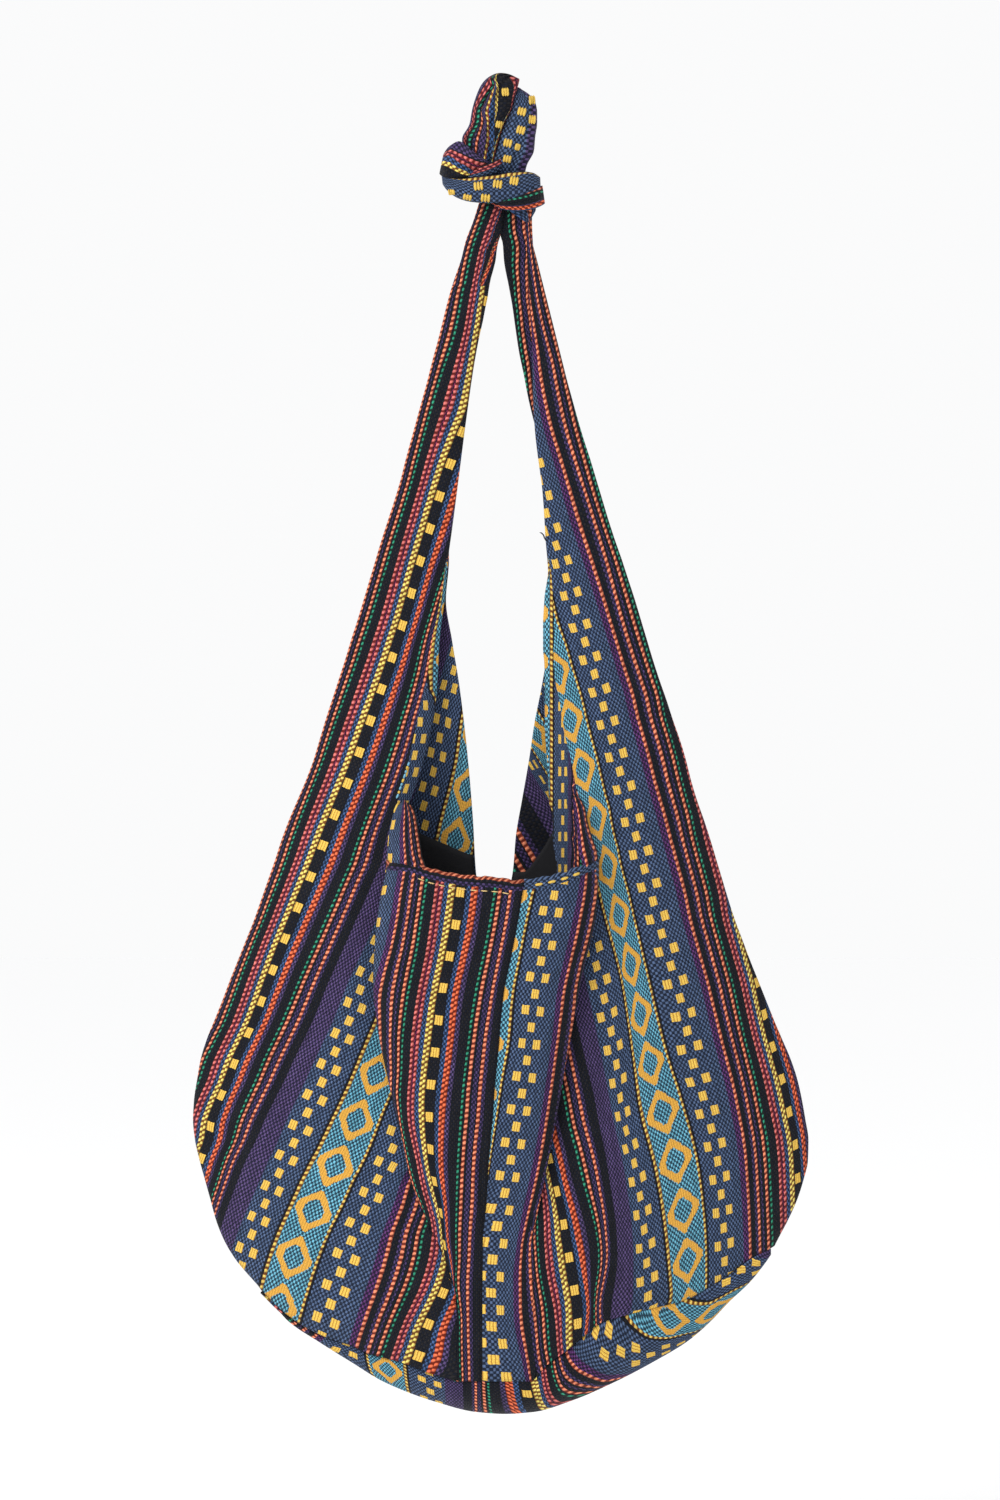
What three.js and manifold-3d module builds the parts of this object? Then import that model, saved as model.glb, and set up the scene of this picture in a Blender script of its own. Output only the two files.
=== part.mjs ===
// Woven sling bag, hung from the knot in its own strap.
// Millimetres, +Z up, the front of the bag faces -Y.
// The origin is the point where the hanging loop bears on whatever carries it:
// the underside of the top of the loop.
//
// Every cloth piece is a box with many segments that is bent into shape: its
// first direction runs across the piece, its second along the cloth's warp,
// and its third through the cloth.

import * as THREE from 'three';
import { mergeVertices } from 'three/addons/utils/BufferGeometryUtils.js';
import Module from 'manifold-3d';

const wasm = await Module();
wasm.setup();

// ---------------------------------------------------------------- dimensions
const CLOTH = 2.4;            // woven cloth, turned and seamed
const LINING = 1.4;           // lining cloth
const GAP = 0.3;              // between neighbouring pieces
const PANEL_GAP = 0.4;        // between the front and back layers of the strap
const FRONT_BELLY = 62;       // how far the front stands forward at the lip
const BACK_BELLY = 30;        // how far the back stands behind the strap plane
const STRAP_TOP = -78.4;      // where the strap goes into the knot
const LINING_INSET = 18;      // lining kept in from the side seam
const LINING_SLACK = 5;       // the lining hangs loose this far inside the cloth
const SEAM_DROP = 2.2;        // base kept below the seam, where its edge is turned in
const LINING_HEM = 9;         // lining kept below the mouth's hem
const KNOT_RING = 22;         // ring of the knot, to the middle of its strand
const KNOT_STRAND = 13.2;     // half thickness of the strand in the knot
const LOOP_STRAND_X = 8.6;    // half width of the loop's strand, in the loop's plane
const LOOP_STRAND_Y = 16;     // half depth of the loop's strand

// Outlines, as [x, z] points.
const SIDE_LEFT = [[-159, -774], [-179, -742], [-187, -710], [-197.5, -668], [-197, -640], [-189, -604],
  [-172, -558], [-150, -502], [-122, -424], [-92, -340], [-63, -240], [-36, -140], [-19.5, STRAP_TOP]];
const SIDE_RIGHT = [[176, -748], [190, -718], [199.5, -692], [198.5, -676], [190, -632], [177, -590],
  [158, -538], [139, -480], [122, -410], [102, -340], [77, -262], [46, -160], [18.5, STRAP_TOP]];
const STRAP_IN_LEFT = [[-73, -497], [-64, -458], [-52, -416], [-42, -362], [-35, -325], [-33, -290],
  [-31, -250], [-24, -205], [-16, -170], [-8.5, -125], [-2.2, STRAP_TOP]];
const STRAP_IN_RIGHT = [[61.5, -497], [56, -462], [46, -424], [37, -380], [32, -325], [30, -290],
  [28, -250], [23, -215], [15, -170], [7.5, -125], [2.2, STRAP_TOP]];
const HEM_LEFT = [[17.5, -508.5], [0, -507], [-26, -504.5], [-52, -499], [-73, -497]];
const HEM_RIGHT = [[18.5, -508.5], [30, -507], [44, -503], [55, -500], [61.5, -497]];
const SEAM_FRONT = [[-12, -832], [-11, -790], [-9, -740], [-5, -675], [0, -610], [9, -560], [18, -508.5]];
const BASE_SEAM = [[-159, -774], [-128, -795], [-95, -809], [-62, -821], [-36, -829], [-12, -832],
  [20, -830], [42, -813], [67, -795], [100, -784], [140, -770], [176, -748]];
const BASE_LOW = [[-159, -776], [-130, -799], [-89, -824], [-60, -839], [-38, -846], [-12, -852],
  [16, -853], [43, -847], [76, -832], [105, -817], [131, -799], [159, -773], [176, -750]];
const BACK_V_LEFT = [[-6, -545], [-13, -522], [-19, -470], [-27.5, -425], [-36, -375], [-44, -325]];
const BACK_V_RIGHT = [[-5, -545], [5, -522], [13.5, -470], [24, -425], [33, -375], [40, -325]];
const BACK_STRAP_LEFT = [[-44, -325], [-23, -201.7], [-2.2, STRAP_TOP]];
const BACK_STRAP_RIGHT = [[40, -325], [21, -201.7], [2.2, STRAP_TOP]];

// ---------------------------------------------------------------- curves
const smooth = (points) => new THREE.SplineCurve(points.map(([x, z]) => new THREE.Vector2(x, z)));

// A path made of several splines, read by one parameter from 0 to 1.
class Path {
  constructor(...stretches) {               // each stretch: [curve, parameter where it ends]
    this.stretches = stretches;
  }
  at(t) {
    let from = 0;
    for (const [curve, to] of this.stretches) {
      if (t <= to + 1e-9) return curve.getPointAt(Math.min(1, Math.max(0, (t - from) / (to - from))));
      from = to;
    }
    return this.stretches.at(-1)[0].getPointAt(1);
  }
}

// x or z of an outline looked up by the other coordinate.
function lookUp(points, value, key, want) {
  const sorted = [...points].sort((a, b) => a[key] - b[key]);
  if (value <= sorted[0][key]) return sorted[0][want];
  for (let i = 1; i < sorted.length; i++) {
    if (value <= sorted[i][key]) {
      const f = (value - sorted[i - 1][key]) / (sorted[i][key] - sorted[i - 1][key]);
      return THREE.MathUtils.lerp(sorted[i - 1][want], sorted[i][want], f);
    }
  }
  return sorted.at(-1)[want];
}

// The side outlines as fine polylines, for looking up the width of the bag at a height.
const fine = (points) => smooth(points).getSpacedPoints(160).map((p) => [p.x, p.y]);
const LEFT_FINE = fine(SIDE_LEFT);
const RIGHT_FINE = fine(SIDE_RIGHT);

// ---------------------------------------------------------------- depth of the bag
const FRONT_DEPTH = [[-853, 30], [-832, 34], [-790, 44], [-730, 53], [-640, 60], [-560, FRONT_BELLY], [-508, FRONT_BELLY],
  [-480, 56], [-440, 42], [-390, 24], [-340, 10], [-300, 3], [-260, 0], [0, 0]];
const BACK_DEPTH = [[-853, 22], [-832, 24], [-790, 27], [-720, BACK_BELLY], [-640, BACK_BELLY], [-560, 26], [-500, 20],
  [-440, 12], [-390, 6], [-340, 2], [-300, 0], [0, 0]];

function crown(x, z) {
  const low = lookUp(LEFT_FINE, z, 1, 0);
  const high = lookUp(RIGHT_FINE, z, 1, 0);
  const s = THREE.MathUtils.clamp((x - low) / (high - low), 0.0001, 0.9999);
  return Math.pow(Math.sin(Math.PI * s), 0.75);
}
const frontY = (x, z) => -(CLOTH + PANEL_GAP / 2) - lookUp(FRONT_DEPTH, z, 0, 1) * crown(x, z);
const backY = (x, z) => CLOTH + PANEL_GAP / 2 + lookUp(BACK_DEPTH, z, 0, 1) * crown(x, z);

// ---------------------------------------------------------------- solids
// A box of nu x nv x 1 cells, each corner moved to place(u, v, w).
function bentBox(nu, nv, place) {
  const geometry = new THREE.BoxGeometry(1, 1, 1, nu, nv, 1);
  geometry.deleteAttribute('normal');
  geometry.deleteAttribute('uv');
  const merged = mergeVertices(geometry, 1e-5);
  const p = merged.attributes.position;
  for (let i = 0; i < p.count; i++) {
    const v = place(p.getX(i) + 0.5, p.getY(i) + 0.5, p.getZ(i) + 0.5);
    p.setXYZ(i, v.x, v.y, v.z);
  }
  return facingOut(merged);
}

function volume(geometry) {
  const p = geometry.attributes.position;
  const index = geometry.index;
  const a = new THREE.Vector3(), b = new THREE.Vector3(), c = new THREE.Vector3();
  let sum = 0;
  for (let i = 0; i < index.count; i += 3) {
    a.fromBufferAttribute(p, index.getX(i));
    b.fromBufferAttribute(p, index.getX(i + 1));
    c.fromBufferAttribute(p, index.getX(i + 2));
    sum += a.dot(b.cross(c)) / 6;
  }
  return sum;
}

function facingOut(geometry) {
  if (volume(geometry) < 0) {
    const index = geometry.index;
    for (let i = 0; i < index.count; i += 3) {
      const keep = index.getX(i + 1);
      index.setX(i + 1, index.getX(i + 2));
      index.setX(i + 2, keep);
    }
  }
  return geometry;
}

function toSolid(geometry) {
  const bare = geometry.clone();
  bare.deleteAttribute('normal');
  bare.deleteAttribute('uv');
  const merged = facingOut(mergeVertices(bare, 1e-4));
  return new wasm.Manifold(new wasm.Mesh({
    numProp: 3,
    vertProperties: new Float32Array(merged.attributes.position.array),
    triVerts: new Uint32Array(merged.index.array),
  }));
}

function fromSolid(solid) {
  const mesh = solid.getMesh();
  const geometry = new THREE.BufferGeometry();
  geometry.setAttribute('position', new THREE.BufferAttribute(new Float32Array(mesh.vertProperties), 3));
  geometry.setIndex(new THREE.BufferAttribute(new Uint32Array(mesh.triVerts), 1));
  return geometry;
}

// A panel between an outer and an inner edge path, from one row to another; the
// bottom row follows the base seam.
function panel(outer, inner, from, to, across, along, surface, thickness, towards) {
  const o0 = outer.at(0);
  const i0 = inner.at(0);
  return bentBox(across, along, (u, rise, w) => {
    const v = THREE.MathUtils.lerp(from, to, rise);
    const o = outer.at(v);
    const i = inner.at(v);
    const x = THREE.MathUtils.lerp(o.x, i.x, u);
    // near the bottom the rows follow the curve of the base seam
    const sag = lookUp(BASE_SEAM, THREE.MathUtils.lerp(o0.x, i0.x, u), 0, 1) - THREE.MathUtils.lerp(o0.y, i0.y, u);
    const z = THREE.MathUtils.lerp(o.y, i.y, u) + sag * Math.pow(1 - v, 5);
    return new THREE.Vector3(x, surface(x, z) + towards * thickness * w, z);
  });
}

// An outline whose rows are spread so that given rows leave it at given heights.
class Rows {
  constructor(points, ...stops) {           // each stop: [row parameter, z]
    this.curve = smooth(points);
    const along = (z) => {
      let low = 0, high = 1;
      for (let i = 0; i < 40; i++) {
        const mid = (low + high) / 2;
        if (this.curve.getPointAt(mid).y < z) low = mid; else high = mid;
      }
      return low;
    };
    this.stops = [[0, 0], ...stops.map(([row, z]) => [row, along(z)]), [1, 1]];
  }
  at(t) {
    return this.curve.getPointAt(lookUp(this.stops, t, 0, 1));
  }
}

// Where the rows of a panel leave its edges, as parameters along the panel.
const ROWS = 34;
const outerLeft = new Rows(SIDE_LEFT, [14 / ROWS, -545], [18 / ROWS, -492]);
const outerRight = new Rows(SIDE_RIGHT, [14 / ROWS, -540], [17 / ROWS, -490]);
const shift = (points, dx) => points.map(([x, z]) => [x + dx, z]);

const innerFrontLeft = new Path([smooth(shift(SEAM_FRONT, -GAP / 2)), 14 / ROWS],
  [smooth(HEM_LEFT), 18 / ROWS], [smooth(STRAP_IN_LEFT), 1]);
const innerFrontRight = new Path([smooth(shift(SEAM_FRONT, GAP / 2)), 14 / ROWS],
  [smooth(HEM_RIGHT), 17 / ROWS], [smooth(STRAP_IN_RIGHT), 1]);
const SEAM_BACK_LEFT = [[-12 - GAP / 2, -832], [-11, -760], [-8, -640], [-6, -545]];
const SEAM_BACK_RIGHT = [[-12 + GAP / 2, -832], [-10.4, -760], [-7.2, -640], [-5, -545]];
const innerBackLeft = new Path([smooth(SEAM_BACK_LEFT), 12 / ROWS], [smooth(BACK_V_LEFT), 23 / ROWS], [smooth(BACK_STRAP_LEFT), 1]);
const innerBackRight = new Path([smooth(SEAM_BACK_RIGHT), 12 / ROWS], [smooth(BACK_V_RIGHT), 23 / ROWS], [smooth(BACK_STRAP_RIGHT), 1]);

// Each half of the front and of the back is one cut of cloth. Its body ends at the
// mouth, and its strap half carries on from there, a hair's breadth apart.
const SPLIT = 0.02 / ROWS;
const pieces = {};
function half(side, outer, inner, row, surface, towards) {
  pieces[`${side}_panel`] = panel(outer, inner, 0, row / ROWS - SPLIT, 8, row, surface, CLOTH, towards);
  pieces[`${side}_strap`] = panel(outer, inner, row / ROWS, 1, 8, ROWS - row, surface, CLOTH, towards);
}
half('front_left', outerLeft, innerFrontLeft, 18, frontY, 1);
half('front_right', outerRight, innerFrontRight, 17, frontY, 1);
half('back_left', outerLeft, innerBackLeft, 23, backY, -1);
half('back_right', outerRight, innerBackRight, 23, backY, -1);

// Lining: follows the panels on the inside, from the base seam up to just below the hem.
function liningSheet(surface, towards, topZ) {
  return bentBox(16, 12, (u, v, w) => {
    // rows climb from the base seam to the top edge
    const x0 = THREE.MathUtils.lerp(-150, 166, u);
    const bottom = lookUp(BASE_SEAM, x0, 0, 1) + 1.5;
    const top = topZ(x0);
    const z = THREE.MathUtils.lerp(bottom, top, v);
    const low = lookUp(LEFT_FINE, z, 1, 0) + LINING_INSET;
    const high = lookUp(RIGHT_FINE, z, 1, 0) - LINING_INSET;
    const x = THREE.MathUtils.clamp(THREE.MathUtils.lerp(low, high, u) * v + x0 * (1 - v), low, high);
    return new THREE.Vector3(x, surface(x, z) + towards * (CLOTH + LINING_SLACK + LINING * w), z);
  });
}
pieces.lining_front = liningSheet(frontY, 1, () => -509 - LINING_HEM);
pieces.lining_back = liningSheet(backY, -1, () => -556);

// Base panel: from the front seam, under the bag, to the back seam. The base
// lining is the same trough, further in.
function trough(fromX, toX, inner, thickness, across, along) {
  return bentBox(across, along, (u, v, w) => {
    const x = THREE.MathUtils.lerp(fromX, toX, u);
    const seam = lookUp(BASE_SEAM, x, 0, 1);
    const low = lookUp(BASE_LOW, x, 0, 1);
    const into = inner + thickness * w;
    const front = frontY(x, seam) + into;
    const back = backY(x, seam) - into;
    const depth = Math.max(seam - low - SEAM_DROP - into, 1.2 - w);
    const a = Math.PI * v;
    const y = THREE.MathUtils.lerp(front, back, (1 - Math.cos(a)) / 2);
    return new THREE.Vector3(x, y, seam - SEAM_DROP - depth * Math.pow(Math.sin(a), 0.8));
  });
}
pieces.base_panel = trough(-155, 172, 0, CLOTH, 24, 10);
pieces.lining_base = trough(-76, 138, CLOTH + LINING_SLACK / 2, LINING, 18, 8);

// Knot: a ring of strap wrapped round the two strap ends that pass through it.
const ring = new THREE.TorusGeometry(KNOT_RING, KNOT_STRAND, 10, 22);
ring.scale(1, 0.86, 1.0);
ring.rotateX(0.12);
ring.rotateY(0.16);
ring.translate(-4.5, 1, -51.5);
const core = new THREE.CylinderGeometry(16, 14, 44, 14, 2);
core.rotateX(Math.PI / 2);
core.scale(1.15, 0.9, 1);
core.translate(-2, 1, -56);
pieces.strap_knot = fromSolid(toSolid(ring).add(toSolid(core)));

// Hanging loop: the bight that stands above the knot, open along Y.
const bight = new THREE.CatmullRomCurve3([
  new THREE.Vector3(-13.5, 0, -36), new THREE.Vector3(-15.5, 0, -22), new THREE.Vector3(-14.5, 0, -8),
  new THREE.Vector3(-8, 0, 4), new THREE.Vector3(1, 0, 8.6), new THREE.Vector3(11, 0, 4),
  new THREE.Vector3(17.5, 0, -8), new THREE.Vector3(18, 0, -22), new THREE.Vector3(16, 0, -36)]);
const strand = new THREE.Shape();
strand.absellipse(0, 0, LOOP_STRAND_Y, LOOP_STRAND_X, 0, Math.PI * 2);
const loopGeometry = new THREE.ExtrudeGeometry(strand, { steps: 20, curveSegments: 5, extrudePath: bight });
// the loop's feet stop just above the knot
const foot = new THREE.BoxGeometry(120, 120, 60);
foot.translate(0, 0, -33.6 - 30);
pieces.hanging_loop = fromSolid(toSolid(loopGeometry)
  .subtract(toSolid(foot))
  .subtract(toSolid(fatter(GAP))));

// The knot, grown by a small amount, to keep the loop clear of it.
function fatter(by) {
  const bigRing = new THREE.TorusGeometry(KNOT_RING, KNOT_STRAND + by * 1.4, 10, 22);
  bigRing.scale(1, 0.86, 1.0);
  bigRing.rotateX(0.12);
  bigRing.rotateY(0.16);
  bigRing.translate(-4.5, 1, -51.5);
  return bigRing;
}

// ---------------------------------------------------------------- finish
const finish = {
  front_left_panel: [0x3b3a58, 0.92], front_right_panel: [0x3b3f5c, 0.92],
  back_left_panel: [0x3a3854, 0.92], back_right_panel: [0x383c58, 0.92],
  front_left_strap: [0x3b3a58, 0.92], front_right_strap: [0x3b3f5c, 0.92],
  back_left_strap: [0x3a3854, 0.92], back_right_strap: [0x383c58, 0.92],
  base_panel: [0x40405e, 0.92], strap_knot: [0x453a55, 0.92], hanging_loop: [0x423b58, 0.92],
  lining_front: [0x1d1d20, 0.85], lining_back: [0x1d1d20, 0.85], lining_base: [0x1d1d20, 0.85],
};

const bag = new THREE.Group();
for (const [name, geometry] of Object.entries(pieces)) {
  const [color, roughness] = finish[name];
  geometry.computeVertexNormals();
  const mesh = new THREE.Mesh(geometry, new THREE.MeshStandardMaterial({ color, roughness, metalness: 0 }));
  mesh.name = name;
  bag.add(mesh);
}

export default bag;
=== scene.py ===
import math
import bmesh
import bpy
import numpy as np
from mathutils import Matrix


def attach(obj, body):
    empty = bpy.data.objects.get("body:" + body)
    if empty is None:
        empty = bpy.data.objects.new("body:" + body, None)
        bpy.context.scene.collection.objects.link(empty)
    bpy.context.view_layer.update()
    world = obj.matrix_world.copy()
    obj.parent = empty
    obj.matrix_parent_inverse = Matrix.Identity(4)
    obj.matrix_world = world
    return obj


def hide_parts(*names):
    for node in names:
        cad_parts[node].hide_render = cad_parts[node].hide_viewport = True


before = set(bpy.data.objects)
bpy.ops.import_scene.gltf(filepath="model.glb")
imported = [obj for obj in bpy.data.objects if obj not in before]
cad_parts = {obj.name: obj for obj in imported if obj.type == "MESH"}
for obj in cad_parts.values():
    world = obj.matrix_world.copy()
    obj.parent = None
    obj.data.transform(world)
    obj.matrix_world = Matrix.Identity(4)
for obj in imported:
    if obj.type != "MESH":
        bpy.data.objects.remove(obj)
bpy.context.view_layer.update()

# ------------------------------------------------------------------ the picture plane
# Outlines and stripe lines are given in units of 0.65 mm on an upright plane through
# the strap, x to the right and y down, with the hanging point at (502, 100). Depth is
# in millimetres towards the viewer.
UNIT = 0.00065
EYE = 2.2
MID_Z = -0.4225
REP = 286.5          # width of one repeat of the stripes, in the same units


def place(x, y, d):
    x, y, d = np.broadcast_arrays(*(np.asarray(q, float) for q in (x, y, d)))
    f = (EYE - d / 1000) / EYE
    return np.stack([(x - 500) * UNIT * f, -d / 1000, MID_Z + (750 - y) * UNIT * f], axis=-1)


def pchip(xs, ys):
    """Smooth curve through points that doesn't overshoot; straight on beyond its ends."""
    x, y = np.array(xs, float), np.array(ys, float)
    h = np.diff(x)
    s = np.diff(y) / h
    m = np.zeros_like(y)
    m[0], m[-1] = s[0], s[-1]
    for i in range(1, len(x) - 1):
        if s[i - 1] * s[i] > 0:
            w1, w2 = 2 * h[i] + h[i - 1], h[i] + 2 * h[i - 1]
            m[i] = (w1 + w2) / (w1 / s[i - 1] + w2 / s[i])

    def f(q):
        q = np.asarray(q, float)
        k = np.clip(np.searchsorted(x, q) - 1, 0, len(x) - 2)
        t = (np.clip(q, x[0], x[-1]) - x[k]) / h[k]
        a = y[k] * (1 + 2 * t) * (1 - t) ** 2 + h[k] * m[k] * t * (1 - t) ** 2
        b = y[k + 1] * t * t * (3 - 2 * t) + h[k] * m[k + 1] * t * t * (t - 1)
        return a + b + m[0] * np.minimum(q - x[0], 0) + m[-1] * np.maximum(q - x[-1], 0)

    return f


def curve(text, hold=True):
    """Curve from 'key:value key:value ...'; held level beyond its ends unless told not to."""
    p = sorted(tuple(float(q) for q in w.split(":")) for w in text.split())
    f = pchip([a for a, _ in p], [b for _, b in p])
    lo, hi = p[0][0], p[-1][0]
    return (lambda q: f(np.clip(q, lo, hi))) if hold else f


def smoothstep(a, b, q):
    t = np.clip((np.asarray(q, float) - a) / (b - a), 0, 1)
    return t * t * (3 - 2 * t)


def blur(a, sigma, axis=0):
    n = max(1, int(3 * sigma))
    k = np.exp(-0.5 * (np.arange(-n, n + 1) / sigma) ** 2)
    k /= k.sum()
    pad = [(0, 0)] * a.ndim
    pad[axis] = (n, n)
    b = np.pad(a, pad, mode="edge")
    # straight on at the ends
    return np.apply_along_axis(lambda r: np.convolve(r, k, mode="valid"), axis, b)


class Lines:
    """Where the cloth's stripe lines run: x as a function of the place across the repeat
    (u) and the height (y), and the length along the warp (v) that goes with it."""

    def __init__(self, rows, u0, u1, ref_u, ref_y, y0=196, y1=1424, du=2.0, dy=4.0, soft=2.5):
        self.u, self.y = np.arange(u0, u1 + du, du), np.arange(y0, y1 + dy, dy)
        self.du, self.dy = du, dy
        keys = sorted(rows)
        across = np.array([pchip(*zip(*sorted(rows[k])))(self.u) for k in keys])
        x = np.array([pchip(keys, across[:, j])(self.y) for j in range(len(self.u))]).T
        self.X = blur(x, soft, 0)
        m = np.gradient(self.X, dy, axis=0)
        xu = np.gradient(self.X, du, axis=1)
        w = np.sqrt(1 + m * m)
        i0, j0 = int(round((ref_y - y0) / dy)), int(round((ref_u - u0) / du))
        along = np.cumsum(w, axis=0) * dy
        along -= along[i0]
        step = np.cumsum((m * xu / w)[i0]) * du
        self.V = along + (step - step[j0])[None]

    def _at(self, grid, u, y):
        i = np.clip((np.asarray(y, float) - self.y[0]) / self.dy, 0, len(self.y) - 1.001)
        j = np.clip((np.asarray(u, float) - self.u[0]) / self.du, 0, len(self.u) - 1.001)
        a, b = i.astype(int), j.astype(int)
        f, g = i - a, j - b
        return (grid[a, b] * (1 - f) * (1 - g) + grid[a + 1, b] * f * (1 - g)
                + grid[a, b + 1] * (1 - f) * g + grid[a + 1, b + 1] * f * g)

    def x(self, u, y):
        return self._at(self.X, *np.broadcast_arrays(u, y))

    def v(self, u, y):
        return self._at(self.V, *np.broadcast_arrays(u, y))


def table(us, text):
    """Rows 'y: x x x ...' on common u lines; 'u>x' pairs where a row has its own."""
    rows = {}
    for line in text.strip().splitlines():
        key, rest = line.split(":")
        words = rest.split()
        if ">" in rest:
            rows[float(key)] = [tuple(float(q) for q in w.split(">")) for w in words]
        else:
            rows[float(key)] = list(zip(us, (float(w) for w in words)))
    return rows


# ------------------------------------------------------------------ outlines
SIDE_L = curve("196:481 206:478 222:473 240:466 260:461 280:454 300:448 320:443 340:438 360:432.5 380:427.5 400:422 420:416.5 440:411"
               " 460:405.5 480:400.5 500:394.5 520:388 540:381.5 560:375.5 580:369.5 600:363.5 620:357.5 640:351 660:345"
               " 680:338.5 700:332 720:325.5 740:319.5 760:313.5 780:306 800:297.5 820:289 840:281.5 860:275 880:268"
               " 900:261 920:254 940:246 960:238 980:230 1000:222.5 1020:214.5 1040:206.5 1060:200.5 1080:197 1100:194"
               " 1120:193 1140:195 1160:199.5 1180:205 1200:210.5 1220:216 1240:224 1260:236 1280:253 1290:262", hold=False)
SIDE_R = curve("196:528 206:530 222:530 240:532 260:537 280:542 300:547 320:552 340:557 360:562 380:567 400:572.5 420:578 440:584"
               " 460:590.5 480:596.5 500:602.5 520:608.5 540:615 560:622 580:628.5 600:635 620:641 640:647 660:653"
               " 680:659.5 700:666.5 720:673 740:680 760:686 780:691 800:697 820:704 840:710.5 860:716.5 880:722.5"
               " 900:728.5 920:735 940:742.5 960:750 980:758 1000:766 1020:774 1040:782.5 1060:791 1080:797.5"
               " 1100:802 1120:805.5 1140:808.5 1160:808 1180:803.5 1200:797 1220:788 1240:777.5 1247:774", hold=False)
LOW_L = curve("1290:260 1300:270 1320:289 1340:318 1360:350 1380:384 1400:436 1411:476 1413:503")
LOW_R = curve("1247:774 1260:766 1280:750 1300:729 1320:711 1340:688 1360:655 1380:617 1400:571 1411:534 1413:503")
# base seam on the front
SEAM = curve("261:1290 280:1309 305:1327 330:1339 353:1346 366:1353 393:1360 406:1364 429:1373 446:1378 464:1380.5 482:1380 507:1379"
             " 530:1377 539:1371 552:1361 565:1352 584:1336 602:1322 620:1317 654:1308 683:1301 710:1287 729:1275 751:1259 774:1247")
LOW = curve("261:1292 272:1302 288:1320 319:1341 351:1361 384:1381 436:1401 476:1411 505:1413 534:1411 571:1400 617:1380 655:1360"
            " 688:1340 711:1320 729:1301 750:1281 766:1261 774:1249")
_sx = np.linspace(261, 774, 514)
_sy = SEAM(_sx)
_left, _right = _sx <= 470, _sx >= 500
SEAM_XL = lambda y: np.interp(y, np.maximum.accumulate(_sy[_left]), _sx[_left])
SEAM_XR = lambda y: np.interp(y, np.maximum.accumulate(_sy[_right][::-1]), _sx[_right][::-1])


def edge_left(y):
    return np.where(np.asarray(y) <= 1288, SIDE_L(np.minimum(y, 1290)), SEAM_XL(y))


def edge_right(y):
    return np.where(np.asarray(y) <= 1247, SIDE_R(np.minimum(y, 1247)), SEAM_XR(y))


# full width of the bag at a height, with the base
def full_left(y):
    return np.where(np.asarray(y) <= 1290, SIDE_L(np.minimum(y, 1290)), LOW_L(np.maximum(y, 1290)))


def full_right(y):
    return np.where(np.asarray(y) <= 1247, SIDE_R(np.minimum(y, 1247)), LOW_R(np.maximum(y, 1247)))


# ------------------------------------------------------------------ stripe lines
LEFT = Lines(table([-175, -162, -130, -108, -89, -72.5, -58, -38, 0, 50, 95, 124, 156, 178], """
206: -175>478 -162>482.6 -157.4>488 -143>497 -130>505 -108>520
228: -175>469.8 -162>474.5 -157.4>478.7 -143>488.5 -130>497.5 -108>512
250: -175>462 -162>467 -157.4>471.2 -143>481.5 -130>490 -108>505
272: -175>456.5 -162>462.5 -157.4>466.8 -143>477 -130>485.6 -108>500
290: -175>451.8 -162>459 -157.4>463.2 -143>473.6 -130>482.4 -108>497
304: -175>448 -162>456.8 -157.4>460.8 -143>471.2 -130>480 -108>495 -89>508 -58>530 0>572 95>640 178>700
334: -175>439 -162>449 -157.4>454.1 -143>465.8 -130>475 -108>492 -89>506 -58>529 0>571 95>640 178>700
380: 427 435 466 481 495 507 517 531 559 595 628 649 672 688
460: 401 411 440 461 478 493 506 524 558 603 643 669 698 717
540: 381 390 418 439 456 471 484 502 536 581 621 647 676 695
620: 357 366 396 416 428 438 447 460 485 518 548 567 588 603
700: 331 339 369 391 407 420 430 444 471 506 538 558 581 596
780: 303 310 339 363 381 396 407 423 454 495 533 558 585 604
860: 271 280 307 331 350 365 379 397 432 479 521 548 578 598
940: 243 250 275 297 316 332 346 366 403 452 496 524 555 577
1020: 212 220 246 265 282 298 312 332 372 424 470 499 531 553
1100: 183 191 215 233 248 262 275 296 339 392 440 470 503 526
1180: 160 167 188 206 217 226 237 259 299 358 407 438 472 496
1260: 150 156 171 183 194 203 212 228 265 321 378 413 445 466
1340: 150 155 168 178 187 195 203 216 246 297 352 382 412 439
1390: -38>208 0>236 50>284 95>338 124>366 156>396 178>424"""), -182, 240, -121, 1100)

LIP_L = Lines(table([80, 95, 113.5, 129, 141, 156, 178.5, 197.7, 214, 228.5, 240], """
880: 378 391 408 423 435 451 475 496 512 525 535
920: 372 386 403 418 430 446 470 490 506 518 528
960: 365 378 396 412 424 439 462 482 498 510 520
1000: 361 373 391 406 417 432 454 474 491 503 513
1040: 364 376 390 402 412 427 450 468 484 498 508
1080: 370 380 392 401 410 422.5 445 463 479 493 504
1120: 380 387 395 401 408 421 441 460 476.5 491 501.5
1160: 389 394 401 407 415.5 424.7 440 457.5 473 488 499
1200: 397 402 409 416 422.5 432.7 444 456 471.5 486 497
1240: 408 413 420 427 433.5 441.6 447.5 455.5 469 482 493
1260: 141>437 156>443.5 178.5>450.5 197.7>456 214>468 228.5>481 240>492
1280: 156>444 178.5>452 197.7>455 214>466.5 228.5>480 240>491
1320: 156>420 178.5>441 197.7>456 214>467 228.5>480 240>490
1360: 156>404 178.5>432 197.7>455 214>468 228.5>480 240>490"""), 60, 244, 166, 1040, soft=1.5)

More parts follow.
